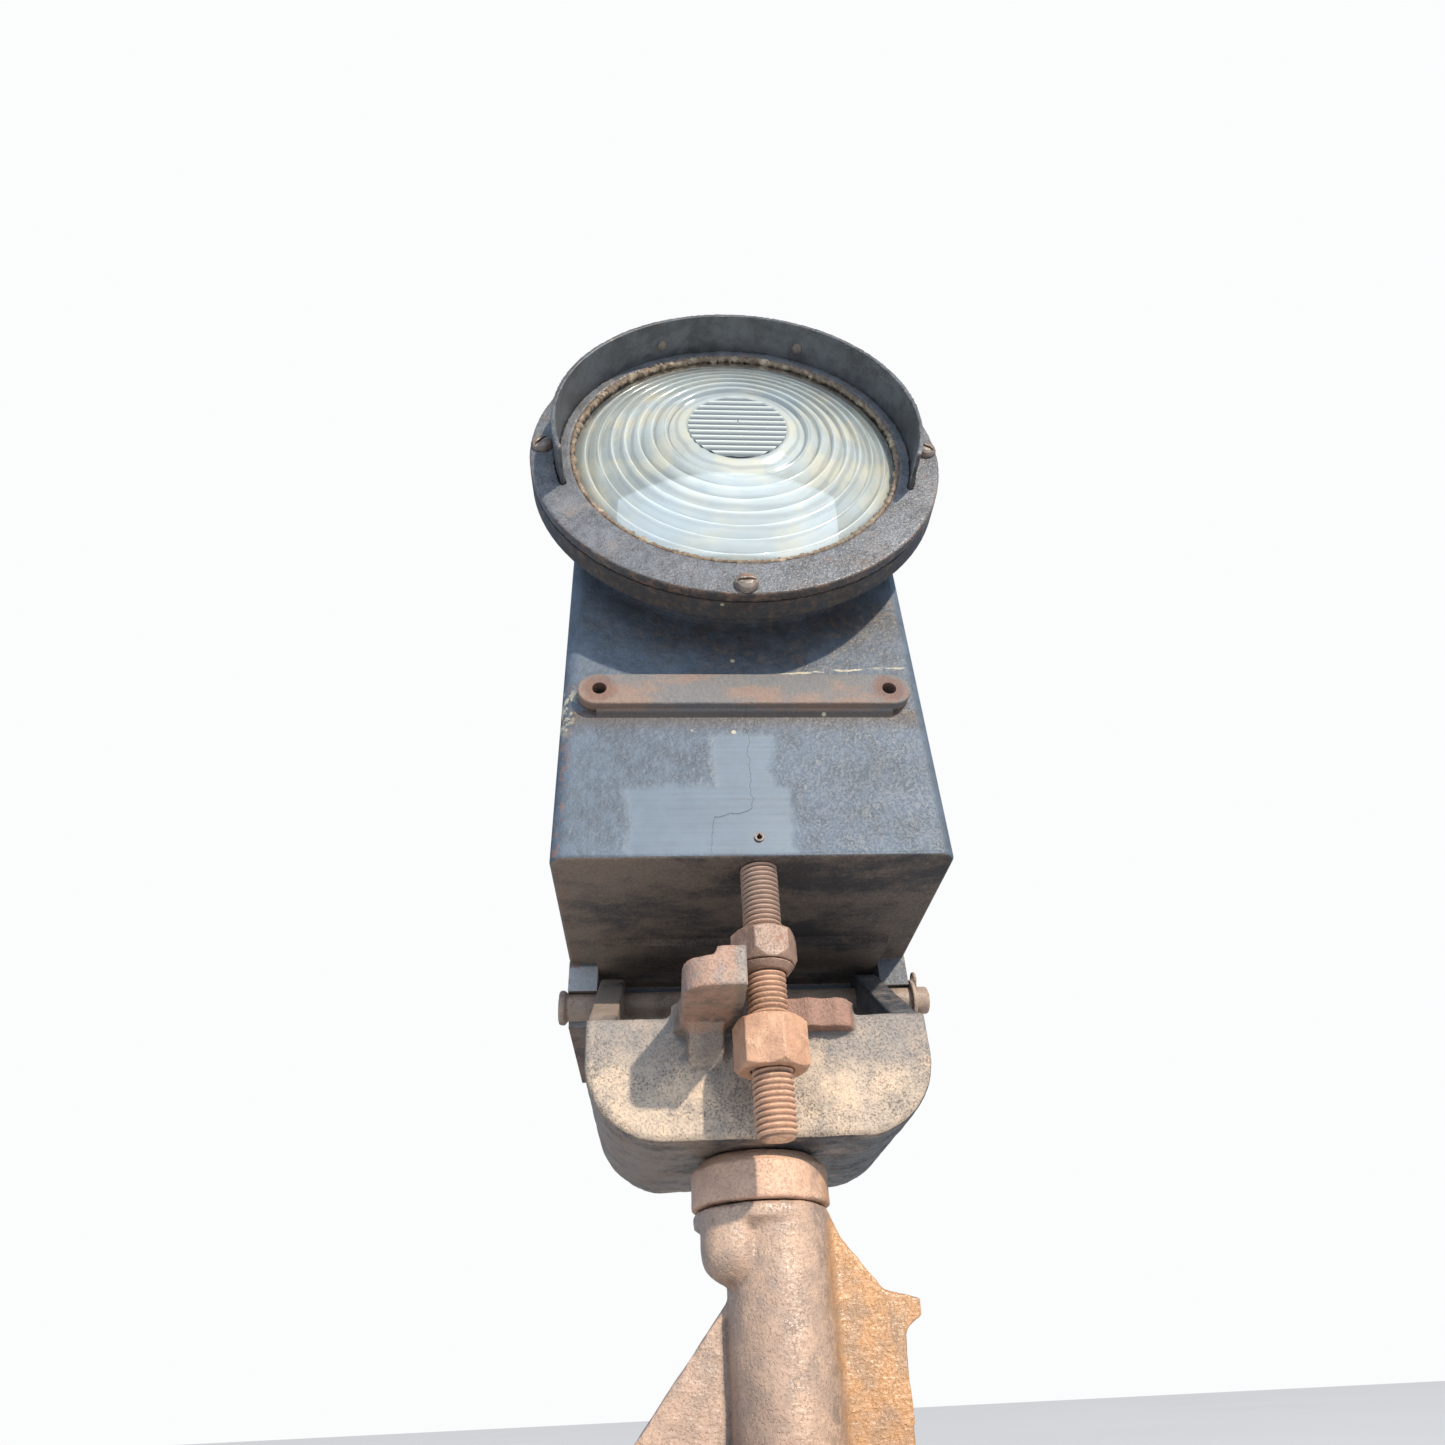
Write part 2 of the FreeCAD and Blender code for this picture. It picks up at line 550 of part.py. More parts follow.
def lens_neck():
    """Round neck with a cove at both ends, and the flange that the ring bolts to."""
    flange = rod(FLANGE_R, (0, FLANGE_FRONT, LENS_C), (0, FLANGE_FRONT + FLANGE_T, LENS_C))
    back = FLANGE_FRONT + FLANGE_T
    flange = soften(flange, 2.0, lambda e: middle(e).y > back - 0.01 and isinstance(e.Curve, Part.Circle))
    cove = cove_points(NECK_R, NECK_FILLET)
    outline = [(0, -1)] + [(r, s) for r, s in cove] + [(r, NECK_L - s) for r, s in reversed(cove)]
    outline += [(NECK_R + NECK_FILLET, NECK_L + 2), (0, NECK_L + 2)]
    neck = turned(outline, (0, back, LENS_C))
    sides = box(-HALF + 0.5, HALF - 0.5, back - 3, FRONT + CASE_WALL, CASE_Z, TOP)
    return flange.fuse(neck.common(sides))


def cove_points(radius, size, count=6):
    """Quarter round that eases a cylinder of one radius out to a face, as radius against distance."""
    points = []
    for i in range(count + 1):
        a = math.pi / 2 * i / count
        points.append((radius + size * (1 - math.sin(a)), size * (1 - math.cos(a))))
    return points


def front_boss():
    z = CASE_Z + BOSS_Z
    half, r = BOSS_W / 2 - BOSS_H / 2, BOSS_H / 2
    y0, y1 = FRONT - BOSS_T, FRONT + 1
    bar = fuse(box(-half, half, y0, y1, z - r, z + r), rod(r, (-half, y0, z), (-half, y1, z)),
               rod(r, (half, y0, z), (half, y1, z)))
    foot = prism([(-half, FRONT + 1, z - r + 3), (-half, FRONT - BOSS_T + 2, z - r + 3),
                  (-half, FRONT + 1, z - r - 5)], (2 * half, 0, 0))
    bar = soften(bar, 1.2, lambda e: middle(e).y < y0 + 0.01)
    return bar.fuse(foot)


def case_hollow():
    w = CASE_WALL
    main = box(-HALF + w, HALF - w, FRONT + w, REAR - RIM_DEPTH, CASE_Z + w, TOP - w)
    sump = box(-HALF + w, HALF - w, SUMP_FRONT + w, REAR - RIM_DEPTH, SUMP_Z + w, CASE_Z + w + 1)
    mouth = box(-HALF + RIM, HALF - RIM, REAR - RIM_DEPTH - 1, REAR + 1, SUMP_Z + RIM, TOP - RIM)
    return fuse(main, sump, mouth)


def stud_block():
    """Thick corner inside the case that the stud screws into."""
    half = STUD_BLOCK_W / 2
    return box(STUD_X - half, STUD_X + half, FRONT + 1, FRONT + STUD_BLOCK_D, CASE_Z + 1,
               CASE_Z + STUD_GRIP + 6)


def hinge_lug(z, height):
    """Case-side half of a door hinge: an arm from the wall to a round knuckle."""
    arm = box(HINGE_X - KNUCKLE_R + 2, -HALF + 1, REAR - 14, REAR - 0.5, z, z + height)
    nose = box(HINGE_X - KNUCKLE_R + 2, HINGE_X + KNUCKLE_R - 2, REAR - 1, HINGE_Y, z, z + height)
    return fuse(arm, nose, rod(KNUCKLE_R, (HINGE_X, HINGE_Y, z), (HINGE_X, HINGE_Y, z + height)))


def case_hinge_lugs():
    lugs = []
    for z in HINGE_ZS:
        low = CASE_Z + z
        lugs.append(hinge_lug(low, KNUCKLE_H))
        lugs.append(hinge_lug(low + 2 * KNUCKLE_H + 2 * GAP, KNUCKLE_H))
    return lugs


def staple_lug():
    z = CASE_Z + HASP_Z
    return box(HALF - 2, STAPLE_X + STAPLE_T / 2 + 3, REAR - 22, REAR - 8, z - 16, z + 16)


def block_posts():
    """Two raised lands on the floor for the terminal block."""
    y = FRONT + STUD_BLOCK_D + 22
    return [box(s * 46 - 8, s * 46 + 8, y, y + BLOCK_SIZE[1], FLOOR_IN - 1, FLOOR_IN + 4) for s in (-1, 1)]


def case():
    body = case_outside()
    body = fuse(body, lens_neck(), front_boss(), staple_lug(), *case_hinge_lugs())
    body = body.cut(case_hollow())
    body = fuse(body, stud_block(), *block_posts())
    seat_y = FLANGE_FRONT + seat_depth()
    body = body.cut(rod(LENS_RIM_R + 2, (0, FLANGE_FRONT - 1, LENS_C), (0, seat_y, LENS_C)))
    body = body.cut(rod(SEAT_BORE_R, (0, seat_y - 1, LENS_C), (0, FRONT + CASE_WALL + 1, LENS_C)))
    body = body.cut(rod(STUD_R + RUN, (STUD_X, STUD_Y, SUMP_Z), (STUD_X, STUD_Y, CASE_Z + STUD_GRIP)))
    pin_z = CASE_Z + LOCK_PIN_Z
    body = body.cut(rod(LOCK_PIN_R + RUN, (STUD_X, FRONT - 1, pin_z), (STUD_X, STUD_Y + STUD_R, pin_z)))
    for side in (-1, 1):
        x = side * TAP_SPACING / 2
        z = CASE_Z + BOSS_Z
        body = body.cut(rod(TAP_R, (x, FRONT - BOSS_T - 1, z), (x, FRONT - BOSS_T + TAP_DEPTH, z)))
    for x, z in screw_places():
        body = body.cut(rod(SCREW_R + RUN, (x, FLANGE_FRONT - 1, z), (x, FLANGE_FRONT + SCREW_L - RING_T, z)))
    for z in HINGE_ZS:
        body = body.cut(rod(HINGE_PIN_R + RUN, (HINGE_X, HINGE_Y, CASE_Z + z - 1),
                            (HINGE_X, HINGE_Y, CASE_Z + z + 3 * KNUCKLE_H + 2)))
    body = body.cut(rod(BUSH_R, (0, BUSH_Y, SUMP_Z - 1), (0, BUSH_Y, SUMP_Z + CASE_WALL + 1)))
    z = CASE_Z + HASP_Z
    body = body.cut(box(STAPLE_X - STAPLE_T / 2, STAPLE_X + STAPLE_T / 2, REAR - 18, REAR, z - STAPLE_H / 2,
                        z + STAPLE_H / 2))
    for x, y in lamp_screw_places():
        body = body.cut(rod(2.6, (x, y, CASE_Z + 1), (x, y, FLOOR_IN + 1)))
    return body


# ---------------------------------------------------------------- lens, ring and hood
def seat_depth():
    return 2 * GASKET_T + LENS_RIM_T


def screw_places():
    return [(SCREW_CIRCLE_R * math.cos(math.radians(a)), LENS_C + SCREW_CIRCLE_R * math.sin(math.radians(a)))
            for a in (0, 90, 180, 270)]


def lens_ring():
    plate = tube(FLANGE_R, RING_OPEN_R, (0, RING_FRONT, LENS_C), (0, FLANGE_FRONT - SEAT, LENS_C))
    outer_front = lambda e: isinstance(e.Curve, Part.Circle) and middle(e).y < RING_FRONT + 0.01
    plate = soften(plate, 1.2, outer_front)
    plate = plate.cut(hood_arc(HOOD_R - HOOD_T / 2 - RUN, HOOD_R + HOOD_T / 2 + RUN, RING_FRONT - 1,
                               RING_FRONT + HOOD_GROOVE, HOOD_DROP + 0.6))
    for x, z in screw_places():
        plate = plate.cut(rod(SCREW_R + RUN, (x, RING_FRONT - 1, z), (x, FLANGE_FRONT + 1, z)))
    return plate


def hood_arc(inner, outer, y0, y1, drop):
    """Part of a cylinder wall about the lens axis, open at the bottom."""
    whole = Part.makeCylinder(outer, y1 - y0, V(0, y0, LENS_C), V(0, 1, 0))
    whole = whole.cut(Part.makeCylinder(inner, y1 - y0, V(0, y0, LENS_C), V(0, 1, 0)))
    a = math.radians(drop)
    reach = 3 * outer
    wedge = prism([(0, y0 - 1, LENS_C), (reach * math.cos(a), y0 - 1, LENS_C - reach * math.sin(a)),
                   (0, y0 - 1, LENS_C - reach * 2),
                   (-reach * math.cos(a), y0 - 1, LENS_C - reach * math.sin(a))],
                  (0, y1 - y0 + 2, 0))
    return whole.cut(wedge)


def clip_places():
    """Angle and direction of the two hood clips."""
    return [math.radians(90 + s * RIVET_ANGLE) for s in (-1, 1)]


def hood():
    shell = hood_arc(HOOD_R - HOOD_T / 2, HOOD_R + HOOD_T / 2, RING_FRONT - HOOD_REACH,
                     RING_FRONT + HOOD_GROOVE - SEAT, HOOD_DROP)
    y = RING_FRONT - 9
    for a in clip_places():
        x, z = math.cos(a), math.sin(a)
        shell = shell.cut(rod(RIVET_R + RUN, (x * (HOOD_R - 8), y, LENS_C + z * (HOOD_R - 8)),
                              (x * (HOOD_R + 8), y, LENS_C + z * (HOOD_R + 8))))
    return shell


def hood_clips():
    """Two small angle clips behind the hood, riveted to it and resting on the ring."""
    clips = []
    y = RING_FRONT - 9
    for a in clip_places():
        x, z = math.cos(a), math.sin(a)
        inner = HOOD_R + HOOD_T / 2 + 0.25
        leg = box(inner, inner + 2, RING_FRONT - 15, RING_FRONT - SEAT, -7, 7)
        foot = box(inner, inner + 11, RING_FRONT - 2, RING_FRONT - SEAT, -7, 7)
        clip = fuse(leg, foot)
        clip = clip.cut(rod(RIVET_R + RUN, (inner - 3, y, 0), (inner + 3, y, 0)))
        clip.rotate(V(0, 0, 0), V(0, 1, 0), -math.degrees(a))
        clip.translate(V(0, 0, LENS_C))
        clips.append(clip)
    return group(*clips)


def hood_rivets():
    rivets = []
    y = RING_FRONT - 9
    for a in clip_places():
        inner, outer = HOOD_R - HOOD_T / 2 - 0.1, HOOD_R + HOOD_T / 2 + 2.25
        head = turned([(0, 0), (3.8, 0), (3.3, -1.1), (1.8, -1.9), (0, -2.1)], (0, 0, 0))
        head.rotate(V(0, 0, 0), V(0, 0, 1), -90)
        head.translate(V(inner, y, 0))
        rivet = fuse(head, rod(RIVET_R, (inner - 0.01, y, 0), (outer + 1.6, y, 0)),
                     rod(RIVET_R + 0.9, (outer + 0.05, y, 0), (outer + 1.6, y, 0)))
        rivet.rotate(V(0, 0, 0), V(0, 1, 0), -math.degrees(a))
        rivet.translate(V(0, 0, LENS_C))
        rivets.append(rivet)
    return group(*rivets)


def ring_screws():
    """Round-head slotted screws around the ring."""
    screws = []
    for i, (x, z) in enumerate(screw_places()):
        h, r = SCREW_HEAD_H, SCREW_HEAD_R
        head = turned([(0, 0), (r, 0), (r * 0.97, -h * 0.3), (r * 0.82, -h * 0.68), (r * 0.5, -h * 0.93),
                       (0, -h)],
                      (0, 0, 0))
        slot = box(-r, r, -h - 1, -h * 0.5, -0.8, 0.8)
        slot.rotate(V(0, 0, 0), V(0, 1, 0), 35 + 47 * i)
        screw = head.cut(slot).fuse(rod(SCREW_R, (0, -0.01, 0), (0, SCREW_L - 1, 0)))
        screw.translate(V(x, RING_FRONT - SEAT, z))
        screws.append(screw)
    return group(*screws)


def lens_outline():
    """Half section of the lens: domed front, stepped back. Radius against distance in front of its rim."""
    sphere_r = (LENS_BODY_R ** 2 + LENS_RISE ** 2) / (2 * LENS_RISE)

    def dome(r):
        return LENS_STEP_T + LENS_RISE - (sphere_r - math.sqrt(sphere_r ** 2 - r ** 2))

    count = 16
    front = [(LENS_BODY_R * i / count, dome(LENS_BODY_R * i / count)) for i in range(count + 1)]
    front += [(LENS_BODY_R, 0), (LENS_RIM_R, 0), (LENS_RIM_R, -LENS_RIM_T)]
    outer = SEAT_BORE_R - 3
    pitch = (outer - LENS_EYE_R) / LENS_STEPS
    back = [(outer, -LENS_RIM_T)]
    for i in range(LENS_STEPS):
        r1 = outer - pitch * i
        r0 = r1 - pitch
        back.append((r1 - 0.4, dome(r1) - LENS_WEB - 0.4))
        back.append((r0 + 0.4, dome(r0) - LENS_WEB - LENS_TOOTH))
    back.append((LENS_EYE_R, dome(LENS_EYE_R) - LENS_WEB))
    back.append((0, dome(LENS_EYE_R) - LENS_WEB))
    return front + back


def lens():
    rim_y = FLANGE_FRONT + GASKET_T
    profile = [(r, -s) for r, s in lens_outline()]
    glass = turned(profile, (0, rim_y, LENS_C))
    eye_y = rim_y - (LENS_STEP_T + LENS_RISE) + LENS_WEB
    bars = []
    count, width = 6, 3.0
    for i in range(count):
        z = (i - (count - 1) / 2) * 2 * LENS_EYE_R * 0.9 / count
        half = math.sqrt(max((LENS_EYE_R - 2) ** 2 - z ** 2, 1))
        bars.append(box(-half, half, eye_y - 1, eye_y + 3.5, LENS_C + z - width / 2, LENS_C + z + width / 2))
    return fuse(glass, *bars)


def front_gasket():
    lip_front = FLANGE_FRONT - RING_T + 1.2
    y = FLANGE_FRONT + GASKET_T - SEAT
    flat = tube(LENS_RIM_R, LENS_BODY_R + 0.05, (0, FLANGE_FRONT, LENS_C), (0, y, LENS_C))
    lip = tube(RING_OPEN_R - 0.05, LENS_BODY_R + 0.05, (0, lip_front, LENS_C), (0, FLANGE_FRONT + 0.5, LENS_C))
    return fuse(flat, lip)


def rear_gasket():
    y = FLANGE_FRONT + GASKET_T + LENS_RIM_T + SEAT
    return tube(LENS_RIM_R, SEAT_BORE_R, (0, y, LENS_C), (0, y + GASKET_T - 2 * SEAT, LENS_C))


# ---------------------------------------------------------------- stud, nuts and lock pin
def stud():
    low, top = CASE_Z - STUD_DROP, CASE_Z + STUD_GRIP - 1
    body = turned([(0, low), (STUD_R - 2, low), (STUD_R, low + 2), (STUD_R, top - 1), (STUD_R - 1, top),
                   (0, top)],
                  (STUD_X, STUD_Y, 0), (0, 0, 1))
    z = CASE_Z + LOCK_PIN_Z
    return body.cut(rod(LOCK_PIN_R + RUN, (STUD_X, FRONT, z), (STUD_X, STUD_Y + STUD_R + 1, z)))


def lock_pin():
    """Rolled spring pin, slit along its length."""
    z = CASE_Z + LOCK_PIN_Z
    start, end = (STUD_X, FRONT - 1.2, z), (STUD_X, STUD_Y + STUD_R - 0.5, z)
    pin = tube(LOCK_PIN_R, LOCK_PIN_R * 0.55, start, end)
    return pin.cut(box(STUD_X - 0.3, STUD_X + 0.3, FRONT - 2, STUD_Y + STUD_R, z, z + LOCK_PIN_R + 1))


def seat_washer():
    """Ball-faced washer that rocks in the fork's seat."""
    ball = Part.makeSphere(SEAT_BALL_R, V(STUD_X, STUD_Y, BALL_Z))
    top = WASHER_Z + WASHER_T
    reach = 2 * SEAT_BALL_R
    slab = box(STUD_X - reach, STUD_X + reach, STUD_Y - reach, STUD_Y + reach, WASHER_Z, top)
    return ball.common(slab).cut(rod(STUD_R + RUN, (STUD_X, STUD_Y, WASHER_Z - 1), (STUD_X, STUD_Y, top + 1)))


def stud_nut(across_flats, z0, height, turn):
    nut = hexagon(across_flats, z0, z0 + height, STUD_X, STUD_Y, 2.0, turn)
    return nut.cut(rod(STUD_R + RUN, (STUD_X, STUD_Y, z0 - 1), (STUD_X, STUD_Y, z0 + height + 1)))


def upper_nut():
    """Hexagon nut, its lower end rounded like the washer under it."""
    z0 = WASHER_Z + WASHER_T + GAP / 2
    nut = stud_nut(UPPER_NUT_AF, z0, UPPER_NUT_H, UPPER_NUT_TURN)
    out = UPPER_NUT_AF / math.sqrt(3) + 0.2
    cone = turned([(0, z0), (SEAT_BALL_R - 1.8, z0), (out, z0 + 5.5), (out, z0 + UPPER_NUT_H),
                   (0, z0 + UPPER_NUT_H)], (STUD_X, STUD_Y, 0), (0, 0, 1))
    return nut.common(cone)


def lower_nut():
    top = LUG_UNDER - LOWER_NUT_GAP
    return stud_nut(LOWER_NUT_AF, top - LOWER_NUT_H, LOWER_NUT_H, LOWER_NUT_TURN)


# ---------------------------------------------------------------- rear door, hinges and hasp
def door():
    low, high = SUMP_Z + DOOR_MARGIN, TOP - DOOR_MARGIN
    half = HALF - DOOR_MARGIN
    y1 = DOOR_Y + DOOR_T
    plate = box(-half, half, DOOR_Y, y1, low, high)
    plate = soften(plate, 6.0, lambda e: along(e, 1))
    plate = soften(plate, 2.0, lambda e: middle(e).y > y1 - 0.01)
    b = DOOR_BEAD
    recess = box(-half + b, half - b, y1 - 3, y1 + 1, low + b, high - b)
    recess = soften(recess, 5.0, lambda e: along(e, 1))
    plate = plate.cut(recess)
    for z in HINGE_ZS:
        k0 = CASE_Z + z + KNUCKLE_H + GAP
        arm = box(HINGE_X, -half + 20, HINGE_Y - 3.5, HINGE_Y + KNUCKLE_R, k0, k0 + KNUCKLE_H)
        plate = fuse(plate, arm, rod(KNUCKLE_R, (HINGE_X, HINGE_Y, k0), (HINGE_X, HINGE_Y, k0 + KNUCKLE_H)))
    for z in HINGE_ZS:
        plate = plate.cut(rod(HINGE_PIN_R + RUN, (HINGE_X, HINGE_Y, CASE_Z + z), (HINGE_X, HINGE_Y, TOP)))
    zc = CASE_Z + HASP_Z
    for s in (-1, 1):
        z0, z1 = sorted((zc + s * (HASP_W / 2 + GAP), zc + s * (HASP_W / 2 + 10)))
        plate = fuse(plate, box(HASP_X - 5, HASP_X + 5, y1 - 4, HASP_Y + 1, z0, z1),
                     rod(5.0, (HASP_X, HASP_Y, z0), (HASP_X, HASP_Y, z1)))
    return plate.cut(rod(HASP_PIN_R + RUN, (HASP_X, HASP_Y, zc - 40), (HASP_X, HASP_Y, zc + 40)))


def door_gasket():
    low, high = SUMP_Z + 3, TOP - 3
    half = HALF - 3
    y0, y1 = REAR + SEAT, REAR + DOOR_GASKET_T
    band = RIM - 4
    return box(-half, half, y0, y1, low, high).cut(
        box(-half + band, half - band, y0 - 1, y1 + 1, low + band, high - band))


def hinge_pins():
    pins = []
    for z in HINGE_ZS:
        top = CASE_Z + z + 3 * KNUCKLE_H + 2 * GAP
        pin = rod(HINGE_PIN_R, (HINGE_X, HINGE_Y, CASE_Z + z - 3), (HINGE_X, HINGE_Y, top + SEAT))
        head = rod(HINGE_PIN_R + 2, (HINGE_X, HINGE_Y, top + SEAT), (HINGE_X, HINGE_Y, top + 3.5))
        pins.append(fuse(pin, head.makeFillet(1.2, [e for e in head.Edges if middle(e).z > top + 3])))
    return group(*pins)


def hasp():
    """Slotted strap that folds over the staple."""
    zc = CASE_Z + HASP_Z
    y0, y1 = HASP_Y - HASP_T / 2, HASP_Y + HASP_T / 2
    end = HASP_X + HASP_LEN
    strap = box(HASP_X, end, y0, y1, zc - HASP_W / 2, zc + HASP_W / 2)
    strap = soften(strap, 9.0, lambda e: along(e, 1) and middle(e).x > end - 1)
    knuckle = rod(4.6, (HASP_X, HASP_Y, zc - HASP_W / 2), (HASP_X, HASP_Y, zc + HASP_W / 2))
    slot = box(STAPLE_X - STAPLE_T / 2 - 2, STAPLE_X + STAPLE_T / 2 + 4, y0 - 1, y1 + 1, zc - STAPLE_H / 2 - 2,
               zc + STAPLE_H / 2 + 2)
    bore = rod(HASP_PIN_R + RUN, (HASP_X, HASP_Y, zc - HASP_W), (HASP_X, HASP_Y, zc + HASP_W))
    return fuse(strap, knuckle).cut(slot).cut(bore)


def hasp_pin():
    zc = CASE_Z + HASP_Z
    reach = HASP_W / 2 + 10
    pin = rod(HASP_PIN_R, (HASP_X, HASP_Y, zc - reach - 2), (HASP_X, HASP_Y, zc + reach + 0.1))
    head = rod(HASP_PIN_R + 1.6, (HASP_X, HASP_Y, zc + reach + 0.1), (HASP_X, HASP_Y, zc + reach + 2.6))
    return fuse(pin, head)


def staple():
    """Flat eye for the padlock, let into its lug."""
    z = CASE_Z + HASP_Z
    tip = HASP_Y - HASP_T / 2 + STAPLE_OUT
    plate = box(STAPLE_X - STAPLE_T / 2 + SEAT, STAPLE_X + STAPLE_T / 2 - SEAT, REAR - 18 + SEAT, tip,
                z - STAPLE_H / 2 + SEAT, z + STAPLE_H / 2 - SEAT)
    plate = soften(plate, 5.0, lambda e: along(e, 0) and middle(e).y > tip - 1)
    eye_y = tip - 5.2
    return plate.cut(rod(3.4, (STAPLE_X - 10, eye_y, z), (STAPLE_X + 10, eye_y, z)))


# ---------------------------------------------------------------- inside the case
def cable_bush():
    """Rubber bush in the lowest floor, for the lamp leads."""
    y = BUSH_Y
    low, high = SUMP_Z, SUMP_Z + CASE_WALL
    shape = fuse(rod(BUSH_R - 0.1, (0, y, low - 0.5), (0, y, high + 0.5)),
                 rod(BUSH_R + 3, (0, y, low - 3), (0, y, low - 0.1)),
                 rod(BUSH_R + 3, (0, y, high + 0.1), (0, y, high + 3)))
    return shape.cut(rod(BUSH_BORE_R, (0, y, low - 4), (0, y, high + 4)))


def lamp_screw_places():
    y = FRONT + LAMP_SETBACK + 34
    return [(s * 40.0, y) for s in (-1, 1)]


def lamp_bracket():
    """Steel strip standing on the floor; its foot is slotted so that the lamp can be focused."""
    y = FRONT + LAMP_SETBACK + 34
    z0 = FLOOR_IN + SEAT
    half = LAMP_STRIP_W / 2
    t = LAMP_STRIP_T
    foot = box(-LAMP_FOOT_L, LAMP_FOOT_L, y - 14, y + 14, z0, z0 + t)
    top = LENS_C + 20
    upright = box(-half, half, y + 14 - t, y + 14, z0, top)
    body = fuse(foot, upright).cut(rod(SOCKET_R + RUN, (0, y - 20, LENS_C), (0, y + 20, LENS_C)))
    for x, sy in lamp_screw_places():
        body = body.cut(box(x - 3, x + 3, sy - LAMP_TRAVEL - 3, sy + LAMP_TRAVEL + 3, z0 - 1, z0 + t + 1))
    window = box(-5, 5, y, y + 20, z0 + 40, LENS_C - 50)
    return body.cut(window)


def lamp_screws():
    screws = []
    z = FLOOR_IN + SEAT + LAMP_STRIP_T + GAP
    for x, y in lamp_screw_places():
        head = rod(6.0, (x, y, z), (x, y, z + 4))
        head = head.cut(box(x - 7, x + 7, y - 0.7, y + 0.7, z + 2.4, z + 5))
        screws.append(fuse(head, rod(2.5, (x, y, CASE_Z + 1.5), (x, y, z + 0.5))))
    return group(*screws)


def socket_front():
    return FRONT + LAMP_SETBACK + 22


def lamp_socket():
    """Tubular socket through the strip, a flange against the strip's front."""
    strip_front = FRONT + LAMP_SETBACK + 34 + 14 - LAMP_STRIP_T
    y0 = socket_front()
    y1 = y0 + SOCKET_L
    body = fuse(rod(SOCKET_R, (0, y0, LENS_C), (0, y1, LENS_C)),
                rod(SOCKET_R + 5, (0, strip_front - 3 - SEAT, LENS_C), (0, strip_front - SEAT, LENS_C)))
    return body.cut(rod(BULB_BASE_R + RUN, (0, y0 - 1, LENS_C), (0, y1 - 6, LENS_C)))


def bulb_base():
    y0 = socket_front()
    shell = rod(BULB_BASE_R, (0, y0 - 4, LENS_C), (0, y0 + SOCKET_L - 8, LENS_C))
    skirt = turned([(0, 0), (BULB_BASE_R, 0), (BULB_BASE_R + 1.5, -4), (0, -4)], (0, y0 - 4, LENS_C))
    return shell.fuse(skirt)


def bulb_glass():
    """Globe with its neck, hollow."""
    centre = FRONT + LAMP_SETBACK - 6
    base = socket_front() - 8
    outer = fuse(Part.makeSphere(BULB_R, V(0, centre, LENS_C)), rod(BULB_BASE_R - 0.5, (0, centre, LENS_C),
                                                                  (0, base - SEAT, LENS_C)))
    inner = fuse(Part.makeSphere(BULB_R - 1, V(0, centre, LENS_C)), rod(BULB_BASE_R - 1.5, (0, centre, LENS_C),
                                                                      (0, base - 2, LENS_C)))
    return outer.cut(inner)


def filament():
    """Stem, two supports and the coil, inside the globe."""
    centre = FRONT + LAMP_SETBACK - 6
    base = socket_front() - 8
    stem = rod(4.0, (0, base - 12, LENS_C), (0, base - 2.1, LENS_C))
    wires = [rod(0.5, (s * 3, base - 13, LENS_C), (s * 5, centre, LENS_C)) for s in (-1, 1)]
    coil = rod(0.9, (-5.5, centre, LENS_C), (5.5, centre, LENS_C))
    return fuse(stem, coil, *[w.fuse(rod(0.5, (s * 3, base - 13.5, LENS_C), (s * 3, base - 11, LENS_C)))
                              for s, w in zip((-1, 1), wires)])


def block_place():
    return FRONT + STUD_BLOCK_D + 22 + BLOCK_SIZE[1] / 2, FLOOR_IN + 4 + SEAT


def post_places():
    y, z = block_place()
    top = z + BLOCK_SIZE[2]
    return [((i - (POST_COUNT - 1) / 2) * POST_PITCH, y, top) for i in range(POST_COUNT)]


def terminal_block():
    y, z = block_place()
    w, d, h = BLOCK_SIZE
    block = box(-w / 2, w / 2, y - d / 2, y + d / 2, z, z + h)
    for i in range(POST_COUNT + 1):
        x = (i - POST_COUNT / 2) * POST_PITCH
        block = block.fuse(box(x - 1.5, x + 1.5, y - d / 2, y + d / 2, z + h - 1, z + h + 6))
    block = block.removeSplitter()
    for x, py, top in post_places():
        block = block.cut(rod(2.4 + RUN, (x, py, top - 10), (x, py, top + 1)))
    return block


def terminal_posts():
    return group(*[rod(2.4, (x, y, top - 9.5), (x, y, top + 16)) for x, y, top in post_places()])


def terminal_nuts():
    nuts = []
    for x, y, top in post_places():
        for level in (0.05, 6.0):
            nut = hexagon(9.5, top + level, top + level + 4, x, y, 0.5)
            nuts.append(nut.cut(rod(2.45, (x, y, top - 1), (x, y, top + 12))))
    return group(*nuts)


# ---------------------------------------------------------------- write the nodes
NODES = {
    "pedestal": pedestal, "swivel_collar": swivel_collar, "swivel_washer": swivel_washer,
    "swivel_nut": swivel_nut, "yoke": yoke, "hinge_pin": hinge_pin, "hinge_pin_washer": pin_washer,
    "cotter_pin": cotter_pin, "lamp_case": case, "lock_pin": lock_pin, "levelling_stud": stud,
    "seat_washer": seat_washer, "upper_nut": upper_nut, "lower_nut": lower_nut, "lens_ring": lens_ring,
    "ring_screws": ring_screws, "hood": hood, "hood_clips": hood_clips, "hood_rivets": hood_rivets,
    "lens": lens, "lens_front_gasket": front_gasket, "lens_rear_gasket": rear_gasket,
    "rear_door": door, "door_gasket": door_gasket, "door_hinge_pins": hinge_pins, "hasp": hasp,
    "hasp_pin": hasp_pin, "staple": staple, "cable_bush": cable_bush, "lamp_bracket": lamp_bracket,
    "lamp_bracket_screws": lamp_screws, "lamp_socket": lamp_socket, "bulb_base": bulb_base,
    "bulb_glass": bulb_glass, "filament": filament, "terminal_block": terminal_block,
    "terminal_posts": terminal_posts, "terminal_nuts": terminal_nuts,
}


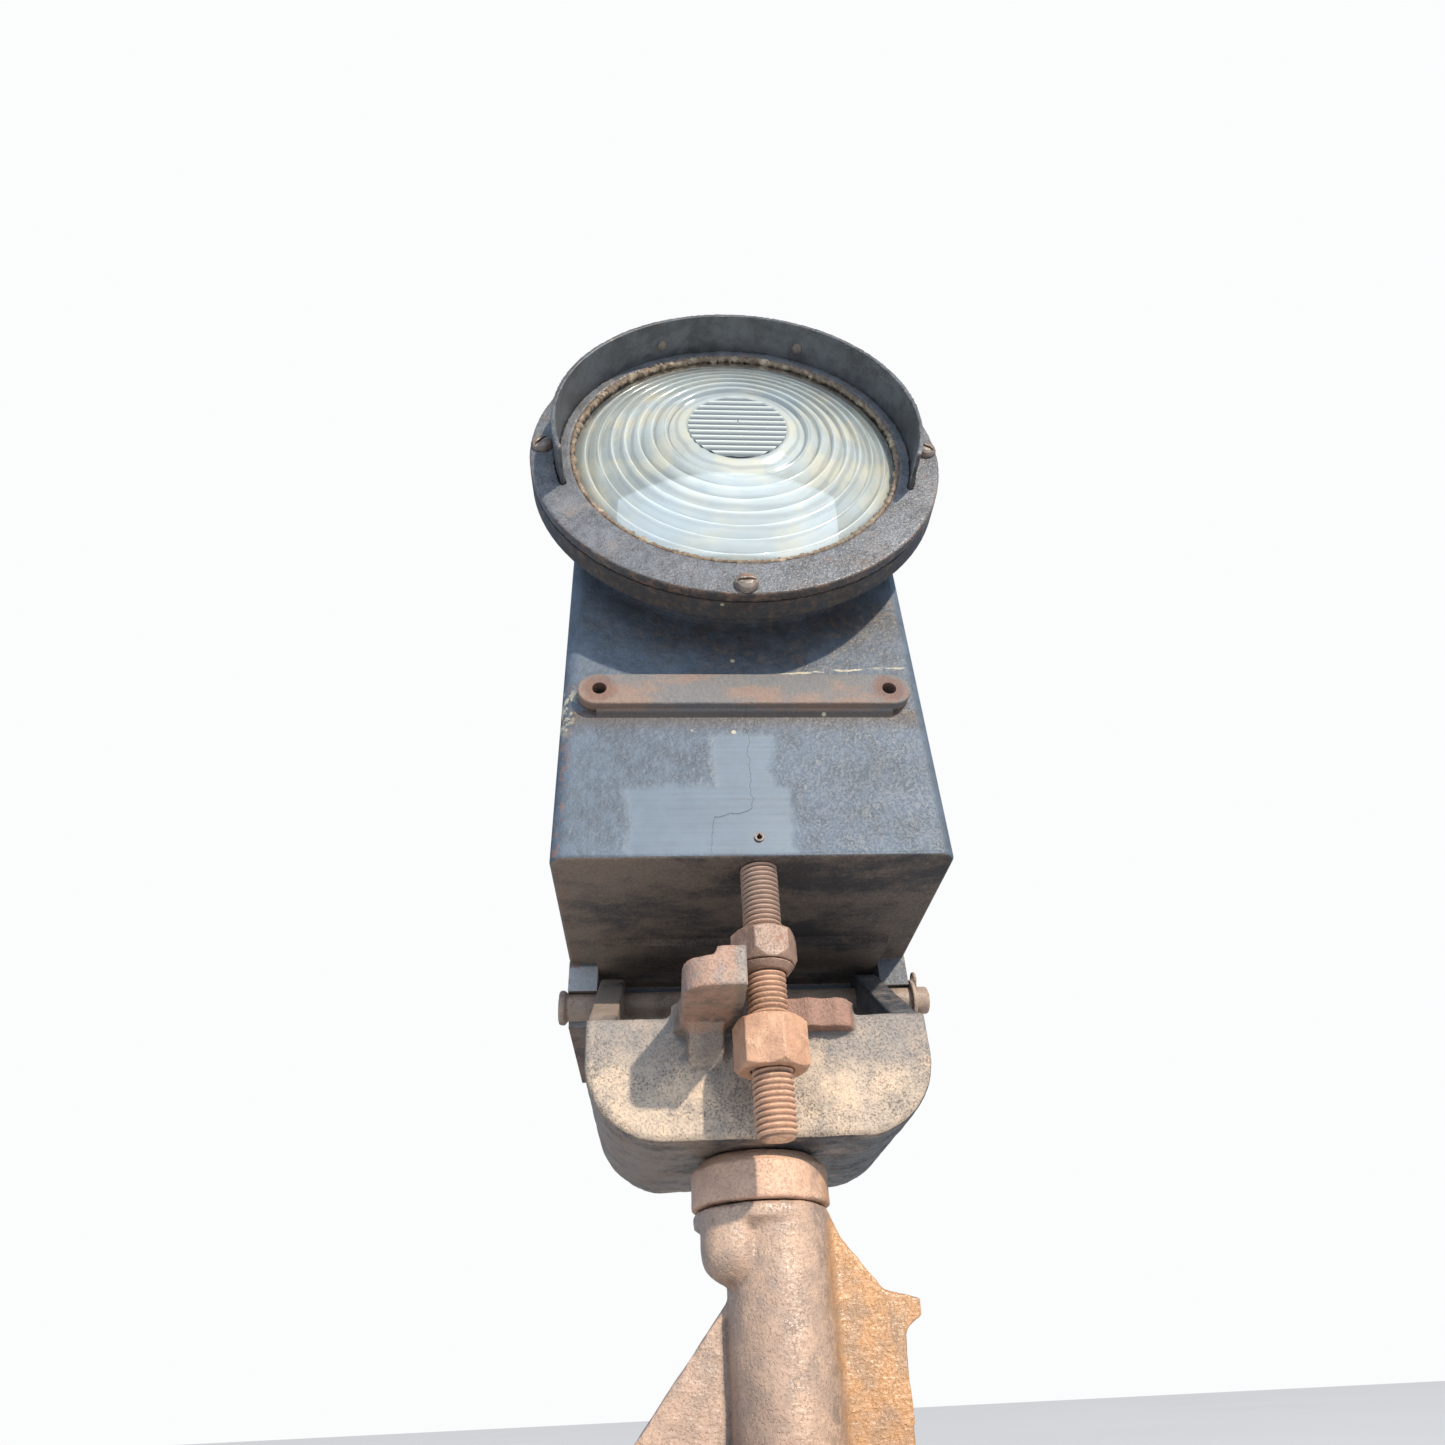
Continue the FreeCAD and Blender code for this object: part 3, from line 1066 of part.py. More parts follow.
def main():
    os.makedirs("parts", exist_ok=True)
    for name, make in NODES.items():
        shape = make()
        export(name, shape)
        box_ = shape.BoundBox
        print("%-22s solids %2d  valid %s  volume %9.0f  x %.1f..%.1f  y %.1f..%.1f  z %.1f..%.1f" % (
            name, len(shape.Solids), shape.isValid(), shape.Volume, box_.XMin, box_.XMax, box_.YMin, box_.YMax,
            box_.ZMin, box_.ZMax))


main()
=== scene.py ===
import logging
import math
from dataclasses import dataclass, replace
from enum import Enum
from typing import Callable, Optional, Sequence, Union

import bpy
import numpy as np
from mathutils import Matrix, Vector, noise


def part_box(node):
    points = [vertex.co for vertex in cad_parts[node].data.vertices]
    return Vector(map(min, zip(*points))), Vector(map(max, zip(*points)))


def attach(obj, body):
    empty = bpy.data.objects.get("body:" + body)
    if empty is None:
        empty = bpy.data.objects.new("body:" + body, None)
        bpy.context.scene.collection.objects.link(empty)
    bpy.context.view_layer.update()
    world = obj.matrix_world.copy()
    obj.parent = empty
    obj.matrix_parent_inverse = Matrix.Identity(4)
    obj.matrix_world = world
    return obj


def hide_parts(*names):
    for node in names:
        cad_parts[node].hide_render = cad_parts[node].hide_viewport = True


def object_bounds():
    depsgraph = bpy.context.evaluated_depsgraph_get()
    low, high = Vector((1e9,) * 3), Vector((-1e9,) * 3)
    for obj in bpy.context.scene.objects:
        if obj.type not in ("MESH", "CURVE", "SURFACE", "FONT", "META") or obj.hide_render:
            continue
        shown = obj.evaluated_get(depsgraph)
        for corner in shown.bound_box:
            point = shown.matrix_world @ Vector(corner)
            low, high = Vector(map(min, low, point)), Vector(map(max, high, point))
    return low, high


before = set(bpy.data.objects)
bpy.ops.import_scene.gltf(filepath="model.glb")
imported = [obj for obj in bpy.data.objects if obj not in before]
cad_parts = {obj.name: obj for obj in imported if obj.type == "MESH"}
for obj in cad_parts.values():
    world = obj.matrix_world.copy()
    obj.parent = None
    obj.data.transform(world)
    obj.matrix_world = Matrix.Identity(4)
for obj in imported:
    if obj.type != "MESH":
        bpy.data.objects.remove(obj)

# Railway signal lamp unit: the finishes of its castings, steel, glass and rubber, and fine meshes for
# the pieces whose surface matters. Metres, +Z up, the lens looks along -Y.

LOG = logging.getLogger("signal_lamp")
MM = 0.001
Colour = tuple[float, float, float]
Number = Union["Wire", float]
Material, Mesh, Piece = bpy.types.Material, bpy.types.Mesh, bpy.types.Object
CAD_BOX = [list(corner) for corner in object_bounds()]


# ---------------------------------------------------------------- shader maths
def math_node(operation: str, flip: bool = False) -> Callable[..., "Wire"]:
    """Method that puts a Math node after a wire; flip makes that wire the last operand."""

    def method(wire: "Wire", *others: "Number") -> "Wire":
        """The node's result."""
        return wire.math(operation, *others, flip=flip)

    return method


class Wire:
    """A shader socket that can stand in a Python sum; either is the larger of two masks."""

    def __init__(self, shader: "Shader", socket: bpy.types.NodeSocket) -> None:
        """Keep the socket and the shader it belongs to."""
        self.shader = shader
        self.socket = socket

    def math(self, operation: str, *others: Number, flip: bool = False) -> "Wire":
        """Result of a Math node on this wire and the others; flip puts this wire last."""
        operands = [self, *others]
        if flip:
            operands.reverse()
        return self.shader.add("ShaderNodeMath", {"operation": operation}, dict(enumerate(operands)))

    __add__ = __radd__ = math_node("ADD")
    __mul__ = __rmul__ = math_node("MULTIPLY")
    __sub__ = math_node("SUBTRACT")
    __rsub__ = math_node("SUBTRACT", flip=True)
    __truediv__ = math_node("DIVIDE")
    __pow__ = math_node("POWER")
    __abs__ = math_node("ABSOLUTE")
    either = math_node("MAXIMUM")

    def step(self, low: float, high: float) -> "Wire":
        """Smooth mask that is 0 below low and 1 above high; low may be above high."""
        settings = {"interpolation_type": "SMOOTHSTEP", "clamp": True}
        return self.shader.add("ShaderNodeMapRange", settings,
                               {"Value": self, "From Min": low, "From Max": high})


class Shader:
    """A material's node tree with its Principled shader."""

    def __init__(self, name: str) -> None:
        """Make the material and find its shader."""
        self.material = bpy.data.materials.new(name)
        self.material.use_nodes = True
        self.nodes = self.material.node_tree.nodes
        self.links = self.material.node_tree.links
        self.surface = self.nodes["Principled BSDF"]
        self.output = self.nodes["Material Output"]
        self._place: Optional[Wire] = None
        self._axes: Optional[list[Wire]] = None

    def add(self, kind: str, settings: Optional[dict] = None, inputs: Optional[dict] = None,
            result: Union[int, str] = 0) -> Wire:
        """Add any node.

        Args:
            kind: the node's type.
            settings: its properties, set before its inputs.
            inputs: socket index, name or identifier against a wire, number or tuple.
            result: the output to return, by index or identifier.

        Returns:
            The chosen output.
        """
        node = self.nodes.new(kind)
        for key, value in (settings or {}).items():
            setattr(node, key, value)
        for key, value in (inputs or {}).items():
            self.feed(node, key, value)
        if isinstance(result, str):
            return Wire(self, next(s for s in node.outputs if s.identifier == result))
        return Wire(self, node.outputs[result])

    def feed(self, node: bpy.types.Node, key: Union[int, str], value: object) -> None:
        """Link a wire to a node's input, or set it; key is an index, an identifier or a name."""
        if isinstance(key, int):
            socket = node.inputs[key]
        else:
            socket = next(s for s in node.inputs if key in (s.identifier, s.name))
        if isinstance(value, Wire):
            self.links.new(value.socket, socket)
        elif isinstance(value, tuple) and len(value) == 3 and socket.type == "RGBA":
            socket.default_value = (*value, 1.0)
        else:
            socket.default_value = value

    def place(self) -> Wire:
        """Position in the model's own frame."""
        if self._place is None:
            self._place = self.add("ShaderNodeTexCoord", result="Object")
        return self._place

    def axes(self) -> list[Wire]:
        """X, Y and Z of the position, in millimetres."""
        if self._axes is None:
            node = self.add("ShaderNodeSeparateXYZ", inputs={0: self.place()}).socket.node
            self._axes = [Wire(self, s) * 1000.0 for s in node.outputs]
        return self._axes

    def facing(self) -> list[Wire]:
        """X, Y and Z of the surface's direction in the model's own frame."""
        normal = self.add("ShaderNodeTexCoord", result="Normal")
        node = self.add("ShaderNodeSeparateXYZ", inputs={0: normal}).socket.node
        return [Wire(self, s) for s in node.outputs]

    def grain(self, size: float, detail: float = 3.0, stretch: Colour = (1, 1, 1), seed: float = 0.0,
              rough: float = 0.55) -> Wire:
        """Noise about as coarse as a size in millimetres.

        Args:
            size: size of a patch in millimetres.
            detail: octaves.
            stretch: how many times finer it is along each axis.
            seed: offset that makes it differ from others.
            rough: how strong the fine octaves are.

        Returns:
            Noise from 0 to 1.
        """
        coords = self.add("ShaderNodeMapping", inputs={
            "Vector": self.place(), "Location": (seed, seed * 0.7, -seed),
            "Scale": tuple(s / (size * MM) for s in stretch)})
        return self.add("ShaderNodeTexNoise", inputs={
            "Vector": coords, "Scale": 1.0, "Detail": detail, "Roughness": rough})

    def flecks(self, spacing: float, size: float, seed: float = 0.0) -> Wire:
        """Mask of sparse round specks, a spacing in millimetres apart; size is their share of a cell."""
        coords = self.add("ShaderNodeMapping", inputs={
            "Vector": self.place(), "Location": (seed, seed, seed), "Scale": (1 / (spacing * MM),) * 3})
        distance = self.add("ShaderNodeTexVoronoi", inputs={"Vector": coords, "Scale": 1.0})
        return distance.step(size, size * 0.6)

    def blend(self, share: Number, first: Union[Wire, Colour],
              second: Union[Wire, Colour]) -> Wire:
        """Mix two colours; share 0 gives the first."""
        return self.add("ShaderNodeMix", {"data_type": "RGBA"}, {
            "Factor_Float": share, "A_Color": first, "B_Color": second}, "Result_Color")

    def attribute(self, name: str) -> Wire:
        """Number stored on the mesh's points."""
        return self.add("ShaderNodeAttribute", {"attribute_name": name}, result="Fac")

    def bevelled(self, radius: float) -> Wire:
        """Mask of edges nearer than a radius in millimetres."""
        soft = self.add("ShaderNodeBevel", {"samples": 4}, {"Radius": radius * MM})
        hard = self.add("ShaderNodeNewGeometry", result="Normal")
        match = self.add("ShaderNodeVectorMath", {"operation": "DOT_PRODUCT"}, {0: soft, 1: hard}, "Value")
        return (1.0 - match).step(0.02, 0.22)

    def bump(self, height: Wire, depth: float, under: Optional[Wire] = None) -> Wire:
        """Normal bent by a height from 0 to 1, which is depth millimetres, on top of another bump's."""
        inputs = {"Height": height, "Distance": depth * MM, "Strength": 1.0}
        if under is not None:
            inputs["Normal"] = under
        return self.add("ShaderNodeBump", inputs=inputs)

    def finish(self, **sockets: object) -> Material:
        """Set the Principled shader's sockets, spaces written as underscores, and return the material."""
        for key, value in sockets.items():
            self.feed(self.surface, key.replace("_", " "), value)
        return self.material


# ---------------------------------------------------------------- finishes
class EdgeSource(Enum):
    """Where a finish reads its worn edges from."""

    MESH = "points of a fine mesh"
    BEVEL = "nearby corners of a CAD solid"


@dataclass(frozen=True)
class Iron:
    """Cast or forged iron: a main coat, darker patches, dust, rust and worn edges."""

    name: str
    coat: Colour
    dark: Colour
    dust: Colour
    rust: Colour
    bare: Colour
    dusty: float = 0.4
    rusty: float = 0.3
    worn: float = 0.6
    pebble: float = 2.2
    pebble_depth: float = 0.28
    pit_depth: float = 0.22
    roughness: float = 0.45
    dust_size: float = 26.0
    speck: float = 0.35
    grime: Colour = (0.045, 0.038, 0.033)
    fine: float = 0.5
    edges: EdgeSource = EdgeSource.MESH

    def edge_mask(self, s: Shader) -> Wire:
        """Where corners have lost their coat."""
        if self.edges is EdgeSource.MESH:
            return s.attribute("edge")
        return s.bevelled(3.0)

    def colours(self, s: Shader) -> tuple[Wire, Wire, Wire]:
        """Colour, roughness and share of loose dust or rust, from the coat, dust, rust and wear, with grime
        and painted shade in the hollows of fine meshes.
        """
        patch, mottle, fine = s.grain(self.dust_size, 5), s.grain(7, 4, seed=2.0), s.grain(1.1, 3, seed=5.0)
        colour = s.blend((patch * 0.5 + mottle * 0.5).step(0.38, 0.62), self.dark, self.coat)
        colour = s.blend((fine - 0.5) * self.fine + 0.35, colour, self.coat)
        dust = (s.grain(self.dust_size * 0.8, 7, seed=8.0, rough=0.7) + (fine - 0.5) * 0.45).step(
            0.72 - self.dusty * 0.5, 0.92 - self.dusty * 0.5)
        colour = s.blend(dust * 0.85, colour, self.dust)
        rust = (s.grain(15, 8, seed=13.0, rough=0.72) + (fine - 0.5) * 0.3).step(
            0.74 - self.rusty * 0.4, 0.86 - self.rusty * 0.4)
        colour = s.blend(rust * 0.8, colour, self.rust)
        worn = (self.edge_mask(s) * 1.25 - s.grain(4, 6, seed=21.0) * 1.1 + self.worn * 0.55).step(0.2, 0.5)
        metal = s.blend(s.grain(3, 4, seed=3.0).step(0.4, 0.6), self.bare, self.rust)
        colour = s.blend(worn * 0.85, colour, metal)
        loose = dust.either(rust)
        roughness = loose * 0.3 + worn * 0.1 + (mottle - 0.5) * 0.3 + self.roughness
        pits = (s.grain(0.9, 3, seed=41.0) + (patch - 0.5) * 0.35).step(0.48, 0.34)
        colour = s.blend(pits * self.speck, colour, self.grime)
        if self.edges is EdgeSource.MESH:
            # Hollows of a fine mesh are darkened towards the grime colour: partly dirt, partly painted shade
            # in the corners.
            corner = (s.attribute("hollow") * 1.3 - s.grain(5, 4, seed=45.0) * 0.5).step(0.0, 0.7)
            colour = s.blend(corner * 0.75, colour, self.grime)
        return colour, roughness, loose

    def relief(self, s: Shader) -> Wire:
        """Pebbly casting skin with pits."""
        normal = s.bump(s.grain(self.pebble, 2.0, seed=31.0), self.pebble_depth * 2.2)
        pits = s.grain(1.2, 4, seed=37.0).step(0.5, 0.3)
        return s.bump(1.0 - pits, self.pit_depth, under=normal)

    def material(self) -> Material:
        """Build the material."""
        s = Shader(self.name)
        colour, roughness, _ = self.colours(s)
        return s.finish(Base_Color=colour, Roughness=roughness, Normal=self.relief(s))


@dataclass(frozen=True)
class CaseIron(Iron):
    """The lamp case's paint, with the marks that its front carries."""

    foot: float = 250.0
    front: float = -82.0
    tap_x: float = 80.0
    tap_z: float = 100.0
    lens_z: float = 260.0

    def window(self, s: Shader, x: tuple[float, float], z: tuple[float, float], soft: float) -> Wire:
        """Soft rectangle on the front, z measured from the underside, with an edge soft millimetres wide."""
        px, _, pz = s.axes()
        wander = (s.grain(18, 3, seed=51.0) - 0.5) * (soft * 5.0)
        px, pz = px + wander, pz + wander * 0.6
        low, high = self.foot + z[0], self.foot + z[1]
        return (px.step(x[0] - soft, x[0] + soft) * px.step(x[1] + soft, x[1] - soft)
                * pz.step(low - soft, low + soft) * pz.step(high + soft, high - soft))

    def front_mask(self, s: Shader) -> Wire:
        """The flat front and its boss."""
        return s.axes()[1].step(self.front + 0.6, self.front + 0.1)

    def brushed(self, s: Shader) -> Wire:
        """Where thick brushed paint fills the pebbly skin."""
        low = self.window(s, (-64, 22), (0, 41), 3.0)
        high = self.window(s, (-20, 13), (36, 74), 3.0)
        return low.either(high) * self.front_mask(s)

    def lost_layer(self, s: Shader) -> Wire:
        """Where a thick top layer of paint has come off, ending in a step."""
        x, _, z = s.axes()
        wander = (s.grain(9, 4, seed=61.0) - 0.5) * 7.0
        below = (z + wander - x * 0.3).step(self.foot + 27.9, self.foot + 27.1)
        left = (x + wander).step(-21.2, -20.4) * below
        right = (x + wander).step(-0.8, 0.2)
        return left.either(right) * self.front_mask(s)

    def scratch(self, s: Shader) -> Wire:
        """Pale chips in a line above the boss."""
        x, _, z = s.axes()
        line = abs(z - x * 0.07 - (self.foot + 115.5) + (s.grain(16, 3, seed=71.0) - 0.5) * 5.0)
        broken = s.grain(5, 5, stretch=(0.5, 1, 2), seed=73.0).step(0.42, 0.56)
        run = x.step(-12, 18) * x.step(96, 90)
        return line.step(1.1, 0.3) * broken * run * self.front_mask(s)

    def side_chips(self, s: Shader) -> Wire:
        """Pale paint flakes down the left corner."""
        x, _, z = s.axes()
        height = z.step(self.foot + 70, self.foot + 84) * z.step(self.foot + 112, self.foot + 98)
        return x.step(-91, -98) * height * s.grain(5, 5, seed=81.0).step(0.47, 0.56)

    def below(self, s: Shader, colour: Wire, down: Wire, grit: Wire) -> Wire:
        """Soil on the underside; on the hooks, painted light on the left one and painted shade on the right
        one.
        """
        x, y, z = s.axes()
        dirt = s.grain(38, 7, stretch=(0.6, 1, 1), seed=91.0, rough=0.7).step(0.36, 0.6)
        soil = s.blend(dirt * 0.7 + grit * 1.3 - x * 0.0022, (0.045, 0.043, 0.046), (0.22, 0.17, 0.135))
        lip = z.step(self.foot + 0.5, self.foot - 0.5) * y.step(40, 39)
        colour = s.blend(down.either(lip), colour, soil)
        hooks = z.step(self.foot - 1, self.foot - 3) * abs(x).step(80, 84) * y.step(39, 40) * (1.0 - down)
        # The left hook is made pale as painted light, the right hook dark as painted shade.
        worn = s.blend(x.step(-1, 1), (0.42, 0.44, 0.47), (0.11, 0.12, 0.14))
        return s.blend(hooks * 0.8, colour, worn)

    def flange(self, s: Shader, colour: Wire, grit: Wire) -> Wire:
        """Dark rusty iron around the lens."""
        _, y, z = s.axes()
        flange = y.step(self.front - 3, self.front - 6) * z.step(self.foot + 118, self.foot + 124)
        rusty = s.blend((s.grain(6, 7, seed=94.0, rough=0.7) + grit * 0.3).step(0.5, 0.68),
                        (0.04, 0.036, 0.034), (0.15, 0.09, 0.06))
        return s.blend(flange * 0.92, colour, rusty)

    def boss_mask(self, s: Shader) -> Wire:
        """The cross boss."""
        _, y, z = s.axes()
        boss = y.step(self.front - 1.5, self.front - 3) * z.step(self.foot + 112, self.foot + 110)
        return boss * y.step(self.front - 11, self.front - 9)

    def boss(self, s: Shader, colour: Wire, mask: Wire) -> Wire:
        """Rubbed, rusty boss with stained holes, and the dirt under it."""
        x, y, z = s.axes()
        rust = s.grain(22, 6, stretch=(0.6, 1, 1.4), seed=95.0).step(0.42, 0.6)
        colour = s.blend(mask, colour, s.blend(rust, (0.155, 0.152, 0.155), (0.235, 0.165, 0.135)))
        for side in (-1, 1):
            away = ((x - side * self.tap_x) ** 2.0 + (z - (self.foot + self.tap_z)) ** 2.0) ** 0.5
            halo = (away + (s.grain(6, 3, seed=97.0) - 0.5) * 6).step(11.5, 6.5) * mask
            colour = s.blend(halo * 0.7, colour, (0.16, 0.08, 0.06))
        under = (z.step(self.foot + 73, self.foot + 88) * z.step(self.foot + 92, self.foot + 89)
                 * y.step(self.front + 1, self.front) * (1.0 - mask))
        return s.blend(under * 0.75, colour, (0.085, 0.06, 0.045))

    def soot_and_shadow(self, s: Shader, colour: Wire) -> Wire:
        """Dark smears on the front around the neck: partly soot, partly painted shadow of the ring, heavier
        to the right.
        """
        x, _, z = s.axes()
        away = (x ** 2.0 + (z - (self.foot + self.lens_z)) ** 2.0) ** 0.5
        neck = away.step(172, 128) * z.step(self.foot + 190, self.foot + 160) * self.front_mask(s)
        smear = s.grain(26, 7, seed=99.0, rough=0.72).step(0.34, 0.62)
        soot_and_shadow = s.grain(5, 7, seed=98.0, rough=0.72).step(0.46, 0.62)
        # Near-black and brown smear: partly soot, partly painted shadow of the ring.
        sooty_shadow = s.blend(soot_and_shadow, (0.05, 0.055, 0.065), (0.13, 0.095, 0.07))
        return s.blend(neck * (smear * 0.55 + 0.2 + x * 0.0022), colour, sooty_shadow)

    def chips(self, s: Shader, colour: Wire) -> Wire:
        """Flaking sides and pale chips."""
        x, _, z = s.axes()
        side = abs(x).step(92, 99) * z.step(self.foot + 125, self.foot + 90)
        flaking = s.grain(7, 7, seed=96.0, rough=0.72).step(0.5, 0.6) * x.step(20, -20)
        colour = s.blend(side * flaking * 0.8, colour, (0.24, 0.13, 0.095))
        pale = self.scratch(s).either(self.side_chips(s)).either(s.flecks(26, 0.06, 4.0) * self.front_mask(s))
        return s.blend(pale * 0.85, colour, (0.5, 0.45, 0.33))

    def skin(self, s: Shader, brushed: Wire, strokes: Wire) -> Wire:
        """Pebbly skin that the brushed paint fills, with the step of the lost layer."""
        pebbles = s.grain(self.pebble, 1.2, seed=31.0) * (1.0 - brushed * 0.93)
        normal = s.bump(pebbles, self.pebble_depth * 2.2)
        normal = s.bump(strokes * brushed, 0.25, under=normal)
        normal = s.bump(1.0 - self.lost_layer(s), 0.5, under=normal)
        pits = s.grain(1.2, 4, seed=37.0).step(0.3, 0.5)
        return s.bump(pits * (1.0 - brushed), self.pit_depth * 0.6, under=normal)

    def material(self) -> Material:
        """Build the material."""
        s = Shader(self.name)
        colour, roughness, _ = self.colours(s)
        down = s.facing()[2].step(-0.5, -0.9)
        grit = (s.grain(1.4, 4, seed=93.0, rough=0.7) - 0.5) * 1.2
        colour = self.flange(s, self.below(s, colour, down, grit), grit)
        boss = self.boss_mask(s)
        colour = self.chips(s, self.soot_and_shadow(s, self.boss(s, colour, boss)))
        brushed = self.brushed(s)
        strokes = s.grain(3.0, 3, stretch=(0.025, 1, 1.5), seed=103.0)
        colour = s.blend(brushed * (strokes * 0.5 + 0.3), colour, (0.15, 0.2, 0.26))
        roughness = roughness + down * 0.25 + boss * 0.15 - brushed * 0.04
        return s.finish(Base_Color=colour, Roughness=roughness, Normal=self.skin(s, brushed, strokes),
                        Specular_IOR_Level=0.4)


@dataclass(frozen=True)
class RingIron(Iron):
    """The lens ring and door: paint that is worn to dark iron and rust on the under sides, the darkness there
    partly painted shade.
    """

    def material(self) -> Material:
        """Build the material."""
        s = Shader(self.name)
        colour, roughness, _ = self.colours(s)
        # Down-facing sides go to dark iron and rust: partly rust, partly painted shade.
        under = s.facing()[2].step(-0.25, -0.7)
        iron = s.blend(s.grain(7, 7, seed=141.0, rough=0.72).step(0.46, 0.64),
                       (0.045, 0.04, 0.038), (0.17, 0.1, 0.068))
        colour = s.blend(under * 0.9, colour, iron)
        return s.finish(Base_Color=colour, Roughness=roughness, Normal=self.relief(s))


@dataclass(frozen=True)
class YokeIron(Iron):
    """The bracket: black paint that keeps its dust on the front plate and top faces, the dark paint of its
    other faces partly painted shade, and a rusty break.
    """

    break_x: tuple[float, float] = (11.0, 48.0)
    break_y: float = -42.3
    break_z: tuple[float, float] = (174.0, 193.0)

    def material(self) -> Material:
        """Build the material."""
        s = Shader(self.name)
        colour, roughness, _ = self.colours(s)
        x, y, z = s.axes()
        normal = s.facing()
        # Front and top faces keep the pale dust; the other faces get the dark paint, partly as painted shade
        # on the sides away from the light.
        front = (0.0 - normal[1]).step(0.25, 0.75) * y.step(-25, -32)
        upper = normal[2].step(0.5, 0.9) * 0.45
        ragged = (s.grain(12, 6, seed=111.0, rough=0.7) - 0.5) * 0.9
        shown = (front.either(upper) + ragged).step(0.3, 0.7)
        old = (s.grain(22, 7, seed=113.0, rough=0.7) - x * 0.0016).step(0.4, 0.62)
        paint = s.blend(old * 0.85, (0.05, 0.055, 0.065), (0.29, 0.22, 0.17))
        # Greyer, bluer tone high on the bracket: partly thin dust, partly painted cool shade.
        thin_dust_and_shade = (z + (s.grain(24, 6, seed=115.0, rough=0.65) - 0.5) * 60).step(148, 182)
        colour = s.blend(thin_dust_and_shade * 0.6, colour, (0.13, 0.14, 0.16))
        colour = s.blend(shown, paint, colour)
        (left, right), (low, high) = self.break_x, self.break_z
        torn = (x.step(left - 1, left + 1) * x.step(right + 1, right - 1) * z.step(low, low + 2)
                * z.step(high + 2, high) * y.step(self.break_y, self.break_y - 1.5))
        prong = x.step(-12, -16) * y.step(-49, -53) * z.step(171, 174)
        warm = prong * (s.grain(9, 6, seed=119.0, rough=0.7).step(0.36, 0.56) * 0.5 + 0.15)
        colour = s.blend(warm, colour, (0.46, 0.26, 0.18))
        fracture = s.blend(s.grain(4, 4, seed=5.0), (0.42, 0.2, 0.14), (0.26, 0.17, 0.13))
        colour = s.blend(torn * 0.8, colour, fracture)
        skin = self.relief(s)
        rough = s.bump(s.grain(3.0, 6, seed=117.0, rough=0.7) * torn, 1.2, under=skin)
        return s.finish(Base_Color=colour, Roughness=roughness - (1.0 - shown) * 0.15, Normal=rough)


@dataclass(frozen=True)
class PostIron(Iron):
    """The post: rubbed rust on the column, bright orange rust on its right web."""

    web_x: float = 27.0

    def material(self) -> Material:
        """Build the material."""
        s = Shader(self.name)
        colour, roughness, _ = self.colours(s)
        x, _, _ = s.axes()
        web = (x + (s.grain(14, 5, seed=121.0) - 0.5) * 14).step(self.web_x - 4, self.web_x + 6)
        orange = s.blend(s.grain(10, 6, seed=123.0).step(0.35, 0.65), (0.33, 0.2, 0.11), (0.46, 0.23, 0.08))
        colour = s.blend(web * 0.8, colour, orange)
        edge = (x - self.web_x + 2.0 + (s.grain(9, 5, seed=125.0) - 0.5) * 8)
        stain = abs(edge).step(6, 1) * s.grain(4, 6, seed=127.0, rough=0.7).step(0.4, 0.6)
        colour = s.blend(stain * 0.5, colour, (0.13, 0.1, 0.08))
        wrinkle = s.grain(2.2, 4, stretch=(0.35, 0.35, 1.3), seed=129.0)
        normal = s.bump(wrinkle, 0.35, under=self.relief(s))
        return s.finish(Base_Color=colour, Roughness=roughness, Normal=normal, Specular_IOR_Level=0.65)


@dataclass(frozen=True)
class StudSteel(Iron):
    """The stud: coppery rust low down, greyer, dirtier and darker towards the case, the darkening partly
    painted shade of the case.
    """

    fade: tuple[float, float] = (192.0, 232.0)
    upper: Colour = (0.3, 0.22, 0.185)

    def material(self) -> Material:
        """Build the material."""
        s = Shader(self.name)
        colour, roughness, _ = self.colours(s)
        _, _, z = s.axes()
        # Greyer and darker towards the case: partly dirt, partly painted shade of the case.
        height = (z + (s.grain(12, 5, seed=131.0) - 0.5) * 20).step(*self.fade)
        colour = s.blend(height * 0.75, colour, self.upper)
        # Thread roots are darkened towards the grime colour: painted shade in the grooves, with some dirt.
        root = s.attribute("root").step(0.5, 1.0)
        colour = s.blend(root * (height * 0.15 + 0.75), colour, self.grime)
        return s.finish(Base_Color=colour, Roughness=roughness + root * 0.2, Normal=self.relief(s))


@dataclass(frozen=True)
class Plain:
    """A small part's finish: one body colour with mottling, grime and a fine skin."""

    name: str
    colour: Colour
    grime: Colour
    roughness: float = 0.5
    metal: float = 0.0
    grime_share: float = 0.35
    skin: float = 0.8
    depth: float = 0.06

    def material(self) -> Material:
        """Build the material."""
        s = Shader(self.name)
        dirt = s.grain(9, 6, seed=5.0, rough=0.65)
        mask = dirt.step(0.75 - self.grime_share * 0.5, 0.95 - self.grime_share * 0.5)
        colour = s.blend(s.grain(2.5, 4).step(0.3, 0.7) * 0.3, self.colour, self.grime)
        colour = s.blend(mask, colour, self.grime)
        roughness = mask * 0.25 + (s.grain(3, 3, seed=9.0) - 0.5) * 0.15 + self.roughness
        normal = s.bump(s.grain(self.skin, 3, seed=7.0), self.depth)
        metal = (1.0 - mask * 0.7) * self.metal
        return s.finish(Base_Color=colour, Roughness=roughness, Normal=normal, Metallic=metal)


